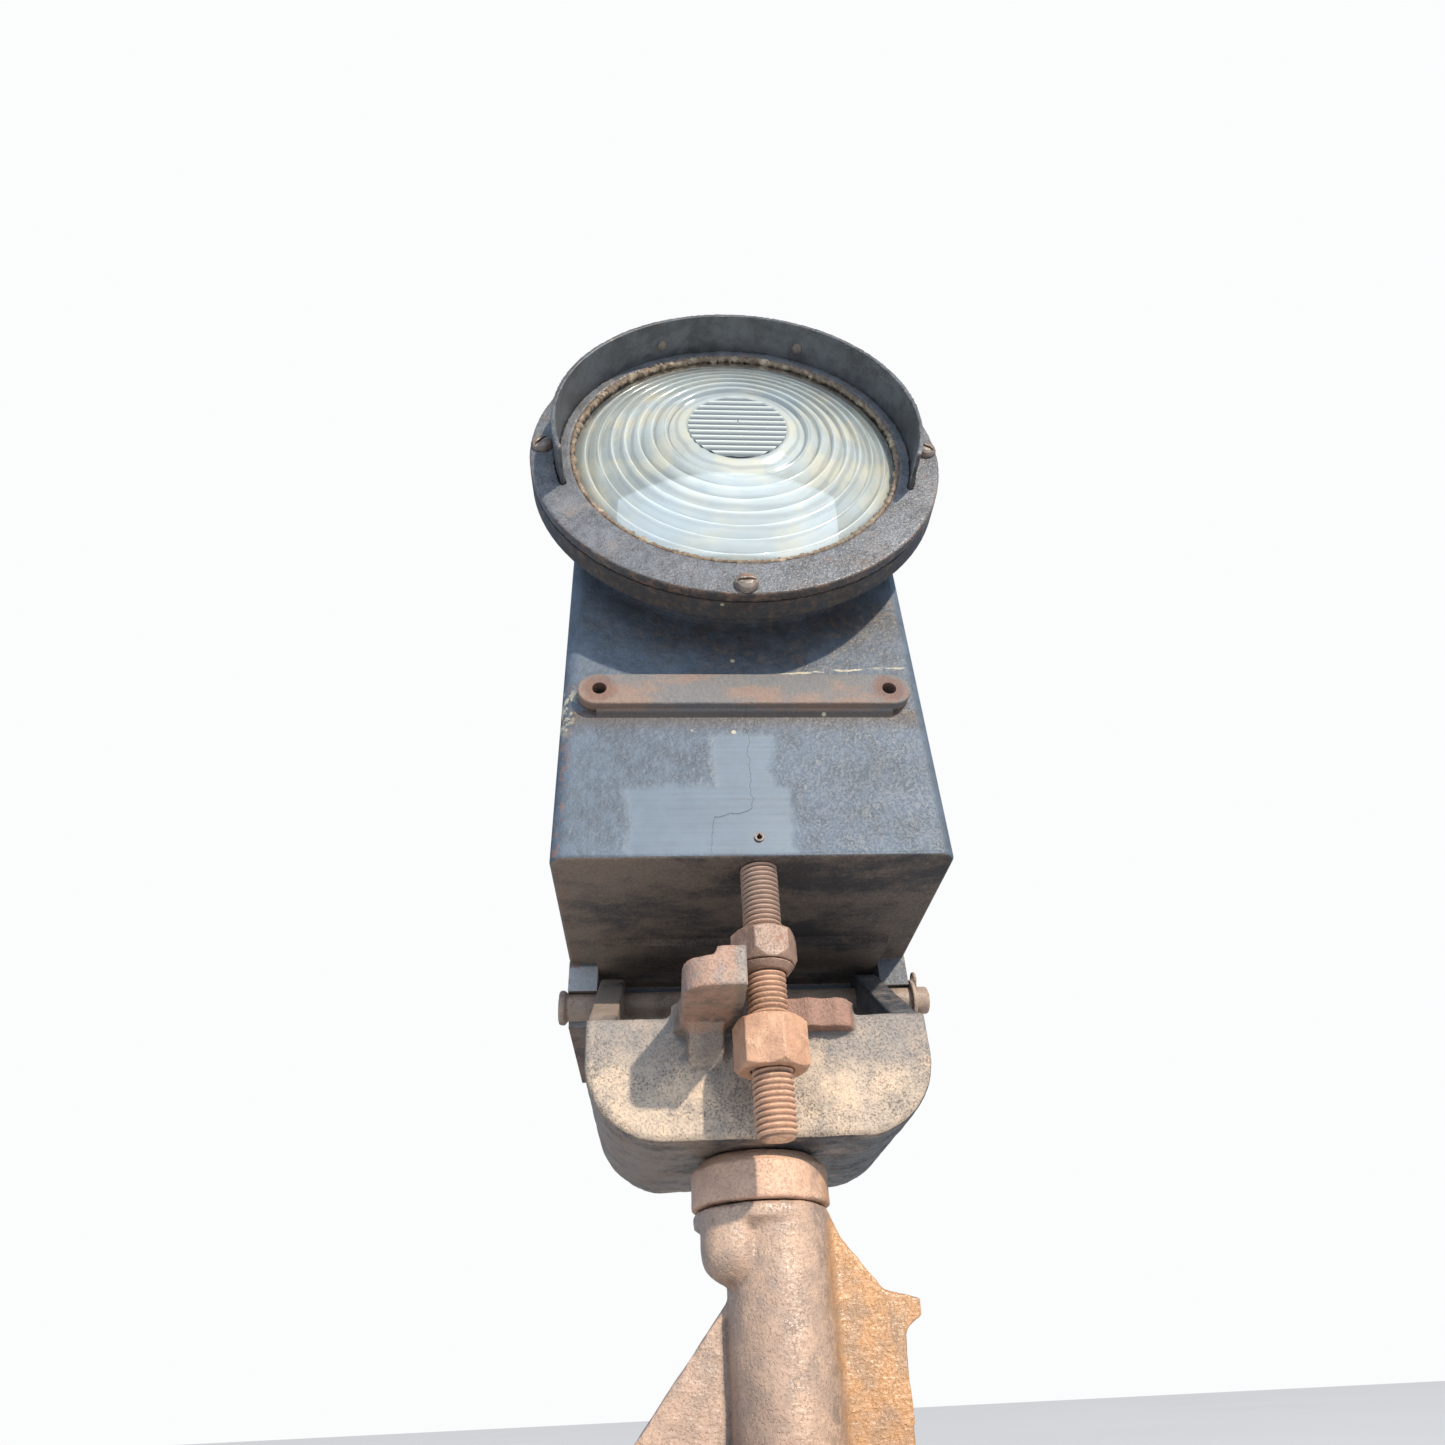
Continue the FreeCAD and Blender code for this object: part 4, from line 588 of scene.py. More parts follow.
@dataclass(frozen=True)
class PressedGlass:
    """The lens's stepped body: pale green-grey pressed glass, with painted glints between the rings, painted
    shade in the step hollows and painted highlights on the crests and ribs.
    """

    name: str
    clear: Colour = (0.45, 0.475, 0.46)
    warm: Colour = (0.63, 0.585, 0.46)
    shade: Colour = (0.15, 0.165, 0.17)
    centre_z: float = 510.0
    eye: float = 30.0

    def material(self) -> Material:
        """Build the material."""
        s = Shader(self.name)
        x, _, z = s.axes()
        away = (x ** 2.0 + (z - self.centre_z) ** 2.0) ** 0.5
        fold = s.attribute("hollow")
        crest = s.attribute("edge")
        # Warm and bluish patches: painted glints and reflections in the glass.
        patch = s.grain(26, 3, seed=3.0).step(0.46, 0.62)
        colour = s.blend(patch * 0.7, self.clear, self.warm)
        bluish_glint = s.grain(34, 4, stretch=(1, 1, 1.6), seed=9.0).step(0.45, 0.62)
        colour = s.blend(bluish_glint * 0.5, colour, (0.5, 0.57, 0.62))
        # Dark rings: painted shading of the steps.
        ring_shading = (away * 0.9 + (s.grain(50, 2, seed=11.0) - 0.5) * 8).math("SINE").step(0.1, 0.9)
        colour = s.blend(ring_shading * 0.4, colour, (0.2, 0.22, 0.225))
        # Step hollows darkened as painted shade, crests lightened as painted highlights.
        colour = s.blend(fold * 0.9, colour, self.shade)
        colour = s.blend(crest * 0.45, colour, (0.8, 0.84, 0.82))
        # Ribbed eye: painted highlights on the rib ridges, painted shade between them.
        ribs = away.step(self.eye + 0.3, self.eye - 0.3)
        colour = s.blend(ribs, colour, s.blend(s.attribute("rib"), (0.125, 0.14, 0.145), (0.82, 0.84, 0.8)))
        dust = s.grain(1.0, 4, seed=17.0).step(0.6, 0.72)
        colour = s.blend(dust * 0.15, colour, (0.8, 0.78, 0.7))
        roughness = dust * 0.25 + 0.13
        return s.finish(Base_Color=colour, Roughness=roughness, Specular_IOR_Level=0.75)


@dataclass(frozen=True)
class Clear:
    """A clear glass skin that lets light straight through and mirrors by its angle."""

    name: str
    gain: float = 1.0
    smear: float = 0.03

    def material(self) -> Material:
        """Build the material."""
        s = Shader(self.name)
        s.finish(Base_Color=(1.0, 1.0, 1.0), Metallic=1.0, Roughness=self.smear)
        through = s.add("ShaderNodeBsdfTransparent", inputs={"Color": (0.985, 0.992, 0.99)})
        slant = s.add("ShaderNodeLayerWeight", inputs={"Blend": 0.5}, result="Facing")
        mirror = (slant ** 5.0 * 0.96 + 0.04) * self.gain
        dust = s.grain(1.6, 5, seed=7.0, rough=0.7).step(0.6, 0.8) * 0.05
        mixed = s.add("ShaderNodeMixShader", inputs={
            0: mirror + dust, 1: through, 2: Wire(s, s.surface.outputs[0])})
        s.links.new(mixed.socket, s.output.inputs["Surface"])
        return s.material


CASE = CaseIron("case_paint", coat=(0.108, 0.14, 0.185), dark=(0.06, 0.075, 0.095), dust=(0.17, 0.145, 0.12),
                rust=(0.19, 0.088, 0.055), bare=(0.27, 0.235, 0.2), dusty=0.1, rusty=0.1, worn=0.35,
                pebble=3.0, pebble_depth=0.24, speck=0.12, fine=0.2, roughness=0.52, edges=EdgeSource.BEVEL)
RING = RingIron("ring_paint", coat=(0.145, 0.158, 0.182), dark=(0.062, 0.066, 0.075), dust=(0.21, 0.17, 0.15),
                rust=(0.27, 0.155, 0.12), bare=(0.2, 0.165, 0.14), dusty=0.34, rusty=0.32, worn=0.35,
                pebble=1.6, pebble_depth=0.16, roughness=0.4, speck=0.65)
HOOD = Iron("hood_paint", coat=(0.1, 0.112, 0.128), dark=(0.024, 0.028, 0.033), dust=(0.13, 0.11, 0.09),
            rust=(0.14, 0.08, 0.055), bare=(0.26, 0.25, 0.235), dusty=0.3, rusty=0.28, worn=0.55,
            pebble=1.3, pebble_depth=0.08, pit_depth=0.12, roughness=0.36, speck=0.6, fine=0.3)
YOKE = YokeIron("yoke_dust", coat=(0.49, 0.395, 0.31), dark=(0.25, 0.215, 0.19), dust=(0.62, 0.48, 0.36),
                rust=(0.4, 0.25, 0.17), bare=(0.38, 0.26, 0.2), dusty=0.5, rusty=0.12, worn=0.3,
                pebble=1.9, pebble_depth=0.2, roughness=0.62, speck=0.6, dust_size=18.0)
POST = PostIron("post_rust", coat=(0.44, 0.305, 0.23), dark=(0.25, 0.195, 0.165), dust=(0.52, 0.365, 0.265),
                rust=(0.52, 0.28, 0.2), bare=(0.46, 0.33, 0.25), dusty=0.4, rusty=0.16, worn=0.3,
                pebble=1.7, pebble_depth=0.12, roughness=0.38, speck=0.12)
COLLAR = replace(POST, name="collar_rust", coat=(0.6, 0.39, 0.28), dark=(0.42, 0.27, 0.2),
                 dust=(0.68, 0.46, 0.33), rust=(0.56, 0.3, 0.2), bare=(0.6, 0.4, 0.3), worn=0.2,
                 pebble_depth=0.1, roughness=0.5)
RUST = Iron("rusty_steel", coat=(0.55, 0.32, 0.205), dark=(0.36, 0.2, 0.13), dust=(0.62, 0.41, 0.27),
            rust=(0.5, 0.24, 0.13), bare=(0.56, 0.36, 0.26), dusty=0.42, rusty=0.36, worn=0.35,
            pebble=1.1, pebble_depth=0.06, pit_depth=0.1, roughness=0.5, dust_size=14.0,
            grime=(0.09, 0.05, 0.035), speck=0.25)
# Darker copy of the rust, for the upper nut and seat washer; on the upper nut the darkening is partly painted
# shade of the case.
BROWN = replace(RUST, name="brown_steel", coat=(0.27, 0.17, 0.13), dark=(0.16, 0.1, 0.075),
                dust=(0.36, 0.24, 0.18), rust=(0.3, 0.15, 0.1), bare=(0.4, 0.27, 0.21), dusty=0.4,
                worn=0.4, roughness=0.46, grime=(0.05, 0.034, 0.027), speck=0.3)
STUD = StudSteel("stud_steel", coat=(0.62, 0.37, 0.25), dark=(0.42, 0.25, 0.165), dust=(0.7, 0.47, 0.33),
                 rust=(0.6, 0.31, 0.17), bare=(0.75, 0.52, 0.38), dusty=0.42, rusty=0.3, worn=0.1,
                 pebble=1.1, pebble_depth=0.05, pit_depth=0.08, roughness=0.46, dust_size=14.0,
                 grime=(0.06, 0.035, 0.025), speck=0.3)
PIN = Iron("pin_steel", coat=(0.36, 0.27, 0.215), dark=(0.18, 0.14, 0.12), dust=(0.4, 0.3, 0.23),
           rust=(0.27, 0.14, 0.09), bare=(0.36, 0.29, 0.24), dusty=0.35, rusty=0.4, worn=0.4,
           pebble=1.2, pebble_depth=0.06, pit_depth=0.1, roughness=0.5, dust_size=14.0)
SCREW = Iron("screw_steel", coat=(0.2, 0.165, 0.14), dark=(0.085, 0.068, 0.06), dust=(0.24, 0.19, 0.15),
             rust=(0.25, 0.12, 0.07), bare=(0.5, 0.46, 0.42), dusty=0.2, rusty=0.45, worn=0.5,
             pebble=0.9, pebble_depth=0.04, pit_depth=0.06, roughness=0.34, dust_size=6.0)
CRUMB = Plain("gasket_crumbs", (0.13, 0.095, 0.07), (0.45, 0.37, 0.27), 0.85, grime_share=0.5, skin=0.7,
              depth=0.25)
RUBBER = Plain("black_rubber", (0.035, 0.035, 0.036), (0.11, 0.1, 0.09), 0.65)
BRASS = Plain("dull_brass", (0.52, 0.38, 0.16), (0.2, 0.14, 0.08), 0.36, 0.9)
STRIP = Plain("zinc_strip", (0.42, 0.43, 0.44), (0.22, 0.2, 0.18), 0.4, 0.85)
BAKELITE = Plain("brown_bakelite", (0.055, 0.028, 0.018), (0.13, 0.1, 0.08), 0.3, grime_share=0.2)
TUNGSTEN = Plain("filament_wire", (0.36, 0.36, 0.38), (0.2, 0.2, 0.2), 0.35, 0.9, 0.1)
LENS = PressedGlass("pressed_glass")
DOME = Clear("lens_skin", gain=1.35)
BULB = Clear("bulb_skin", gain=1.0, smear=0.02)


# ---------------------------------------------------------------- mesh work
def new_object(name: str, points: np.ndarray, faces: Sequence[Sequence[int]], smooth: bool = True) -> Piece:
    """Make an object from points and faces.

    Args:
        name: the piece's name.
        points: N by 3 places in metres.
        faces: point indices of each face.
        smooth: smooth shading.

    Returns:
        The object, linked to the scene.
    """
    mesh = bpy.data.meshes.new(name)
    mesh.from_pydata(points.tolist(), [], [list(map(int, f)) for f in faces])
    mesh.polygons.foreach_set("use_smooth", [smooth] * len(mesh.polygons))
    mesh.update()
    return show(name, mesh)


def show(name: str, data: bpy.types.ID) -> Piece:
    """Link a new object that holds the data to the scene."""
    thing = bpy.data.objects.new(name, data)
    bpy.context.scene.collection.objects.link(thing)
    return thing


def coordinates(mesh: Mesh) -> np.ndarray:
    """Places of a mesh's points."""
    flat = np.empty(len(mesh.vertices) * 3)
    mesh.vertices.foreach_get("co", flat)
    return flat.reshape(-1, 3)


def directions(mesh: Mesh) -> np.ndarray:
    """Outward directions at a mesh's points."""
    flat = np.empty(len(mesh.vertices) * 3, np.float32)
    mesh.vertex_normals.foreach_get("vector", flat)
    return flat.reshape(-1, 3).astype(float)


def move_points(mesh: Mesh, points: np.ndarray) -> None:
    """Put a mesh's points in new places."""
    mesh.vertices.foreach_set("co", points.ravel())
    mesh.update()


def neighbours(mesh: Mesh) -> tuple[np.ndarray, np.ndarray, np.ndarray]:
    """Both ends of every edge, and each point's number of edges."""
    flat = np.empty(len(mesh.edges) * 2, np.int64)
    mesh.edges.foreach_get("vertices", flat)
    a, b = flat[0::2], flat[1::2]
    count = np.bincount(a, minlength=len(mesh.vertices)) + np.bincount(b, minlength=len(mesh.vertices))
    return a, b, np.maximum(count, 1)


def averaged(values: np.ndarray, links: tuple[np.ndarray, np.ndarray, np.ndarray]) -> np.ndarray:
    """Each point's mean over its neighbours, for one number or three per point."""
    a, b, count = links
    total = np.zeros_like(values)
    np.add.at(total, a, values[b])
    np.add.at(total, b, values[a])
    return total / (count if values.ndim == 1 else count[:, None])


def relax(mesh: Mesh, rounds: int) -> None:
    """Smooth a mesh without much shrinking, rounds times."""
    links = neighbours(mesh)
    points = coordinates(mesh)
    for _ in range(rounds):
        points = points + 0.5 * (averaged(points, links) - points)
        points = points - 0.51 * (averaged(points, links) - points)
    move_points(mesh, points)


def mark_curvature(mesh: Mesh, spread: int, gain: float) -> None:
    """Store how much each point stands out ("edge") or lies in a corner ("hollow").

    Args:
        mesh: the mesh.
        spread: rounds of spreading.
        gain: how fast a mark grows with curvature.
    """
    links = neighbours(mesh)
    points, outward = coordinates(mesh), directions(mesh)
    step = np.linalg.norm(points[links[0]] - points[links[1]], axis=1).mean()
    lean = ((averaged(points, links) - points) * outward).sum(1) / step
    for _ in range(spread):
        lean = 0.5 * lean + 0.5 * averaged(lean, links)
    for name, sign in (("edge", -1.0), ("hollow", 1.0)):
        value = np.clip(sign * lean * gain, 0, 1).astype(np.float32)
        layer = mesh.attributes.get(name) or mesh.attributes.new(name, "FLOAT", "POINT")
        layer.data.foreach_set("value", value)


def turbulence(points: np.ndarray, size: float, octaves: int = 3, seed: float = 0.0) -> np.ndarray:
    """Noise of about -1 to 1 at each point, in lumps of a size in metres."""
    shift = Vector((seed, seed * 1.7, -seed))
    return np.array([noise.fractal(Vector(p) / size + shift, 1.0, 2.0, octaves) for p in points])


@dataclass(frozen=True)
class Casting:
    """A fine copy of a CAD node with a worked surface."""

    node: str
    body: str
    slot: str
    finish: Iron
    voxel: float
    lump: float = 0.25
    lump_size: float = 9.0
    chip: float = 0.5
    relaxing: int = 1
    spread: int = 3
    gain: float = 6.0

    def build(self) -> Piece:
        """Remesh the node, roughen it and dress it.

        Returns:
            The piece, riding on its body in place of the node.
        """
        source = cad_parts[self.node]
        rough = show(self.node + "_rough", source.data.copy())
        remesh = rough.modifiers.new("skin", "REMESH")
        remesh.mode = "VOXEL"
        remesh.voxel_size = self.voxel * MM
        remesh.use_smooth_shade = True
        bpy.context.view_layer.update()
        mesh = bpy.data.meshes.new_from_object(rough.evaluated_get(bpy.context.evaluated_depsgraph_get()))
        bpy.data.objects.remove(rough)
        mesh.name = self.node + "_skin"
        relax(mesh, self.relaxing)
        mark_curvature(mesh, self.spread, self.gain)
        points, outward = coordinates(mesh), directions(mesh)
        lumps = turbulence(points, self.lump_size * MM, 3, 1.3)
        edge = np.empty(len(points), np.float32)
        mesh.attributes["edge"].data.foreach_get("value", edge)
        chips = np.clip(turbulence(points, 3.2 * MM, 2, 7.1) * 1.6 - 0.15, 0, 1) * edge
        depth = (0.5 - 0.5 * lumps).clip(0, 1) * self.lump + chips * self.chip
        move_points(mesh, points - outward * (depth * MM)[:, None])
        piece = show(self.node + "_casting", mesh)
        return install(piece, self.body, self.slot, self.finish, self.node)


_MATERIALS: dict[str, Material] = {}


def finish_of(finish: Union[Iron, Plain, PressedGlass, Clear]) -> Material:
    """The finish's material, built once."""
    if finish.name not in _MATERIALS:
        _MATERIALS[finish.name] = finish.material()
    return _MATERIALS[finish.name]


def install(piece: Piece, body: str, slot: str, finish: object, *nodes: str) -> Piece:
    """Dress a piece and fix it to its body.

    Args:
        piece: the object.
        body: the body that it rides on.
        slot: a material slot name; not used.
        finish: its finish.
        nodes: CAD nodes that it stands for.

    Returns:
        The piece.
    """
    piece.data.materials.clear()
    piece.data.materials.append(finish_of(finish))
    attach(piece, body)
    if nodes:
        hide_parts(*nodes)
    LOG.info("%s: %d faces", piece.name, len(piece.data.polygons))
    return piece


def grid_faces(rows: int, columns: int, closed: bool) -> list[tuple[int, int, int, int]]:
    """Faces of a grid of points stored row by row; closed joins the last column to the first."""
    faces = []
    for low in range(0, (rows - 1) * columns, columns):
        high = low + columns
        for c in range(columns if closed else columns - 1):
            d = (c + 1) % columns
            faces.append((low + c, low + d, high + d, high + c))
    return faces


# ---------------------------------------------------------------- levelling stud
@dataclass(frozen=True)
class LevellingStud:
    """The threaded stud under the case, its helix cut as a real form."""

    pitch: float = 2.54
    depth: float = 1.25
    around: int = 72
    per_pitch: int = 9
    chamfer: float = 2.0
    plain_top: float = 30.0

    def thread(self, turn: np.ndarray) -> np.ndarray:
        """Depth below the crest, 0 to 1, against the share of a pitch."""
        ramp = np.abs(turn - 0.5) * 2.0
        return np.clip((0.86 - ramp) / 0.72, 0, 1) ** 0.85

    def build(self) -> Piece:
        """Make the stud as a grid around its axis."""
        low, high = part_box("levelling_stud")
        radius = (high.x - low.x) / 2
        cx, cy = (high.x + low.x) / 2, (high.y + low.y) / 2
        length = high.z - low.z
        step = self.pitch * MM / self.per_pitch
        heights = np.arange(0, length - self.plain_top * MM, step)
        heights = np.append(heights, length)
        angle = np.linspace(0, 2 * math.pi, self.around, endpoint=False)
        a, h = np.meshgrid(angle, heights)
        share = (h / (self.pitch * MM) - a / (2 * math.pi)) % 1.0
        crest = radius - self.thread(share) * self.depth * MM
        end = radius - np.clip(self.chamfer * MM - h, 0, None)
        crest = np.minimum(crest, end)
        points = np.stack([cx + crest * np.cos(a), cy + crest * np.sin(a), low.z + h], -1).reshape(-1, 3)
        wear = turbulence(points, 2.2 * MM, 3, 4.0) * 0.1 + turbulence(points, 11 * MM, 2, 9.0) * 0.08
        inward = np.stack([cx - points[:, 0], cy - points[:, 1], np.zeros(len(points))], -1)
        inward /= np.linalg.norm(inward, axis=1)[:, None]
        points += inward * ((0.12 + wear).clip(0, 0.35) * MM)[:, None]
        rows = len(heights)
        root = np.append(self.thread(share).ravel(), [0.0, 0.0]).astype(np.float32)
        faces = grid_faces(rows, self.around, True)
        ends = np.array([[cx, cy, low.z], [cx, cy, high.z]])
        points = np.vstack([points, ends])
        for c in range(self.around):
            d = (c + 1) % self.around
            faces.append((d, c, len(points) - 2))
            faces.append(((rows - 1) * self.around + c, (rows - 1) * self.around + d, len(points) - 1))
        piece = new_object("threaded_stud", points, faces)
        mark_curvature(piece.data, 1, 1.4)
        piece.data.attributes.new("root", "FLOAT", "POINT").data.foreach_set("value", root)
        return install(piece, "lamp", "rusty_steel", STUD, "levelling_stud")


# ---------------------------------------------------------------- lens and gasket
@dataclass(frozen=True)
class StepLens:
    """Clear dome over a pressed, stepped back, with ribs across the eye."""

    steps: int = 7
    body_radius: float = 99.8
    eye_radius: float = 30.0
    rise: float = 23.5
    behind_ring: float = 3.5
    glass: float = 2.0
    tooth: float = 3.0
    skin: float = 1.6
    plain: float = 12.0
    eye_step: float = 0.25
    edge_gap: float = 0.1
    ribs: int = 12
    rib_height: float = 1.1
    around: int = 192

    def dome(self, r: np.ndarray) -> np.ndarray:
        """Height of the dome above its edge at a radius, in millimetres."""
        sphere = (self.body_radius ** 2 + self.rise ** 2) / (2 * self.rise)
        return self.rise - (sphere - np.sqrt(sphere ** 2 - r ** 2))

    def seat(self) -> tuple[float, float]:
        """Y of the lens's front edge and Z of its axis, in millimetres."""
        low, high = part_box("lens_ring")
        return low.y / MM + self.behind_ring, (low.z + high.z) / 2 / MM

    def disc(self, name: str, radii: np.ndarray, depths: np.ndarray) -> Piece:
        """Turn a profile, outside first and in millimetres, about the lens's axis; depths are along Y."""
        _, axis_z = self.seat()
        angle = np.linspace(0, 2 * math.pi, self.around, endpoint=False)
        a, r = np.meshgrid(angle, radii)
        y = np.repeat(depths[:, None], self.around, 1)
        points = np.stack([r * np.cos(a), y, axis_z + r * np.sin(a)], -1).reshape(-1, 3) * MM
        return new_object(name, points, grid_faces(len(radii), self.around, True))

    def steps_profile(self) -> tuple[np.ndarray, np.ndarray]:
        """Radii and depths of the stepped back, from the rim to the eye."""
        edge, _ = self.seat()
        outer = self.body_radius - 0.4
        pitch = (outer - self.eye_radius - self.plain) / self.steps
        radii, depths = [self.body_radius - self.edge_gap], [edge + self.glass]
        for i in range(self.steps):
            for t in np.linspace(0, 1, 15):
                r = outer - pitch * (i + t)
                riser = np.clip((t - 0.8) / 0.2, 0, 1)
                crown = 1.0 - (1.0 - min(t, 0.8) / 0.8) ** 2
                radii.append(r)
                depths.append(edge - self.dome(r) + self.glass + self.tooth * (1.0 - crown + riser))
        for r in np.linspace(self.eye_radius + self.plain, self.eye_radius, 10)[1:]:
            t = (r - self.eye_radius) / self.plain
            radii.append(r)
            rise = self.eye_step + (1 - self.eye_step) * t * t
            depths.append(edge - self.dome(r) + self.glass + self.tooth * rise)
        return np.array(radii), np.array(depths)

    def eye(self) -> tuple[np.ndarray, np.ndarray, list]:
        """Points, rib mask and faces of the ribbed eye."""
        edge, axis_z = self.seat()
        rows, columns = 168, 30
        zs = np.linspace(-1, 1, rows) * (self.eye_radius - 0.02)
        half = np.sqrt(self.eye_radius ** 2 - zs ** 2)
        wave = 0.5 + 0.5 * np.cos(zs / self.eye_radius * self.ribs * math.pi)
        ridge = wave ** 2.2
        level = edge - float(self.dome(np.array(self.eye_radius))) + self.glass
        y = level + self.tooth * self.eye_step - ridge * self.rib_height
        t = np.linspace(-1, 1, columns)
        points = np.stack([np.outer(half, t), np.repeat(y[:, None], columns, 1),
                           np.repeat((axis_z + zs)[:, None], columns, 1)], -1).reshape(-1, 3) * MM
        return points, np.repeat(ridge, columns), grid_faces(rows, columns, False)

    def build(self) -> None:
        """Build the stepped body with its eye, and the clear skin over it."""
        radii, depths = self.steps_profile()
        body = self.disc("lens_steps", radii, depths)
        mark_curvature(body.data, 0, 5.0)
        marks = {}
        for key in ("edge", "hollow"):
            values = np.empty(len(body.data.vertices), np.float32)
            body.data.attributes[key].data.foreach_get("value", values)
            marks[key] = values
        ring_points, ring_faces = coordinates(body.data), [tuple(p.vertices) for p in body.data.polygons]
        eye_points, ribs, eye_faces = self.eye()
        start = len(ring_points)
        count = len(eye_points)
        bpy.data.objects.remove(body)
        body = new_object("lens_steps", np.vstack([ring_points, eye_points]),
                          ring_faces + [tuple(i + start for i in f) for f in eye_faces])
        marks = {k: np.concatenate([v, np.zeros(count, np.float32)]) for k, v in marks.items()}
        marks["rib"] = np.concatenate([np.zeros(start), ribs]).astype(np.float32)
        for key, values in marks.items():
            body.data.attributes.new(key, "FLOAT", "POINT").data.foreach_set("value", values)
        install(body, "lamp", "lens_glass", LENS, "lens")
        edge, _ = self.seat()
        rim = self.body_radius - self.edge_gap
        out = np.linspace(rim, 0.02, 60)
        front = edge - self.dome(out)
        back = front + self.skin
        skin_r = np.concatenate([[rim], out, out[::-1], [rim]])
        skin_y = np.concatenate([[edge + self.skin], front, back[::-1], [edge + self.skin]])
        skin = self.disc("lens_skin", skin_r, skin_y)
        install(skin, "lamp", "lens_glass", DOME)
        Studio.shade_from_sun(skin)


@dataclass(frozen=True)
class CrumblingGasket:
    """What is left of the packing between the lens and its ring."""

    around: int = 900
    section: int = 10
    width: float = 2.5
    height: float = 2.1
    radius: float = 100.6
    behind_ring: float = 1.6
    furthest: float = 103.2

    def build(self) -> Piece:
        """Make a lumpy ring."""
        low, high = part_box("lens_ring")
        axis_z = (low.z + high.z) / 2 / MM
        front = low.y / MM + self.behind_ring
        points = []
        for i in range(self.around):
            a = 2 * math.pi * i / self.around
            c, s = math.cos(a), math.sin(a)
            lump = noise.fractal(Vector((c, s, 0)) * 24, 0.8, 2.0, 4)
            tear = noise.fractal(Vector((c, s, 3)) * 60, 0.9, 2.0, 3)
            more = 0.85 + 0.35 * max(s, -0.3)
            wide = self.width * more * (0.8 + 0.55 * lump + 0.3 * tear)
            tall = self.height * more * (0.8 + 0.5 * tear - 0.3 * lump)
            for j in range(self.section):
                b = 2 * math.pi * j / self.section
                crumb = 1 + 0.35 * noise.noise(Vector((c * 70, s * 70, b * 1.3)))
                r = self.radius - 0.5 * lump + max(wide, 0.25) * crumb * math.cos(b)
                r = min(r, self.furthest)
                y = front - max(tall, 0.2) * crumb * math.sin(b)
                points.append((r * c * MM, y * MM, (axis_z + r * s) * MM))
        faces = grid_faces(self.around, self.section, True)
        last = (self.around - 1) * self.section
        for j in range(self.section):
            k = (j + 1) % self.section
            faces.append((last + j, last + k, k, j))
        piece = new_object("gasket_crumbs", np.array(points), faces)
        return install(piece, "lamp", "gasket_rubber", CRUMB, "lens_front_gasket")


# ---------------------------------------------------------------- castings and plain nodes
CASTINGS = (
    Casting("pedestal", "pedestal", "post_iron", POST, 1.5, lump=0.7, lump_size=14, relaxing=3),
    Casting("swivel_collar", "pedestal", "post_iron", COLLAR, 0.9, lump=0.35, lump_size=8),
    Casting("yoke", "yoke", "yoke_iron", YOKE, 1.35, lump=0.7, lump_size=15, relaxing=2),
    Casting("hinge_pin", "yoke", "rusty_steel", PIN, 0.8, lump=0.2, lump_size=7),
    Casting("hinge_pin_washer", "yoke", "rusty_steel", PIN, 0.5),
    Casting("cotter_pin", "yoke", "rusty_steel", PIN, 0.35, lump=0.08, chip=0.1),
    Casting("upper_nut", "top_nut", "rusty_steel", BROWN, 0.5, lump=0.3, lump_size=7),
    Casting("lower_nut", "bottom_nut", "rusty_steel", RUST, 0.5, lump=0.3, lump_size=7),
    Casting("seat_washer", "ball_washer", "rusty_steel", BROWN, 0.45, lump=0.15),
    Casting("lens_ring", "lamp", "ring_iron", RING, 1.0, lump=0.3, lump_size=18),
    Casting("hood", "lamp", "hood_steel", HOOD, 0.9, lump=0.25, lump_size=16, gain=4.0),
    Casting("hood_clips", "lamp", "hood_steel", HOOD, 0.5, lump=0.1),
    Casting("hood_rivets", "lamp", "rivet_brass", SCREW, 0.3, lump=0.08, chip=0.1),
    Casting("ring_screws", "lamp", "screw_steel", SCREW, 0.4, lump=0.12, lump_size=4, chip=0.2),
    Casting("lock_pin", "lamp", "screw_steel", SCREW, 0.22, lump=0.03, chip=0.05),
    Casting("rear_door", "door", "case_iron", RING, 1.6, lump=0.6, lump_size=30, relaxing=2),
    Casting("hasp", "hasp", "hasp_steel", PIN, 0.8, lump=0.15),
    Casting("staple", "lamp", "hasp_steel", PIN, 0.6, lump=0.15),
    Casting("door_hinge_pins", "lamp", "screw_steel", SCREW, 0.6, lump=0.12),
)
PLAIN_NODES = {
    "lamp_case": CASE, "swivel_washer": PIN, "swivel_nut": PIN, "lens_rear_gasket": RUBBER,
    "door_gasket": RUBBER, "hasp_pin": PIN, "cable_bush": RUBBER, "lamp_bracket": STRIP,
    "lamp_bracket_screws": BRASS, "lamp_socket": STRIP, "bulb_base": BRASS, "bulb_glass": BULB,
    "filament": TUNGSTEN, "terminal_block": BAKELITE, "terminal_posts": BRASS, "terminal_nuts": BRASS,
}


def dress_nodes() -> None:
    """Give every CAD node that stays its finish."""
    for node, finish in PLAIN_NODES.items():
        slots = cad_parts[node].data.materials
        slots.clear()
        slots.append(finish_of(finish))
        LOG.info("%s: %s", node, finish.name)


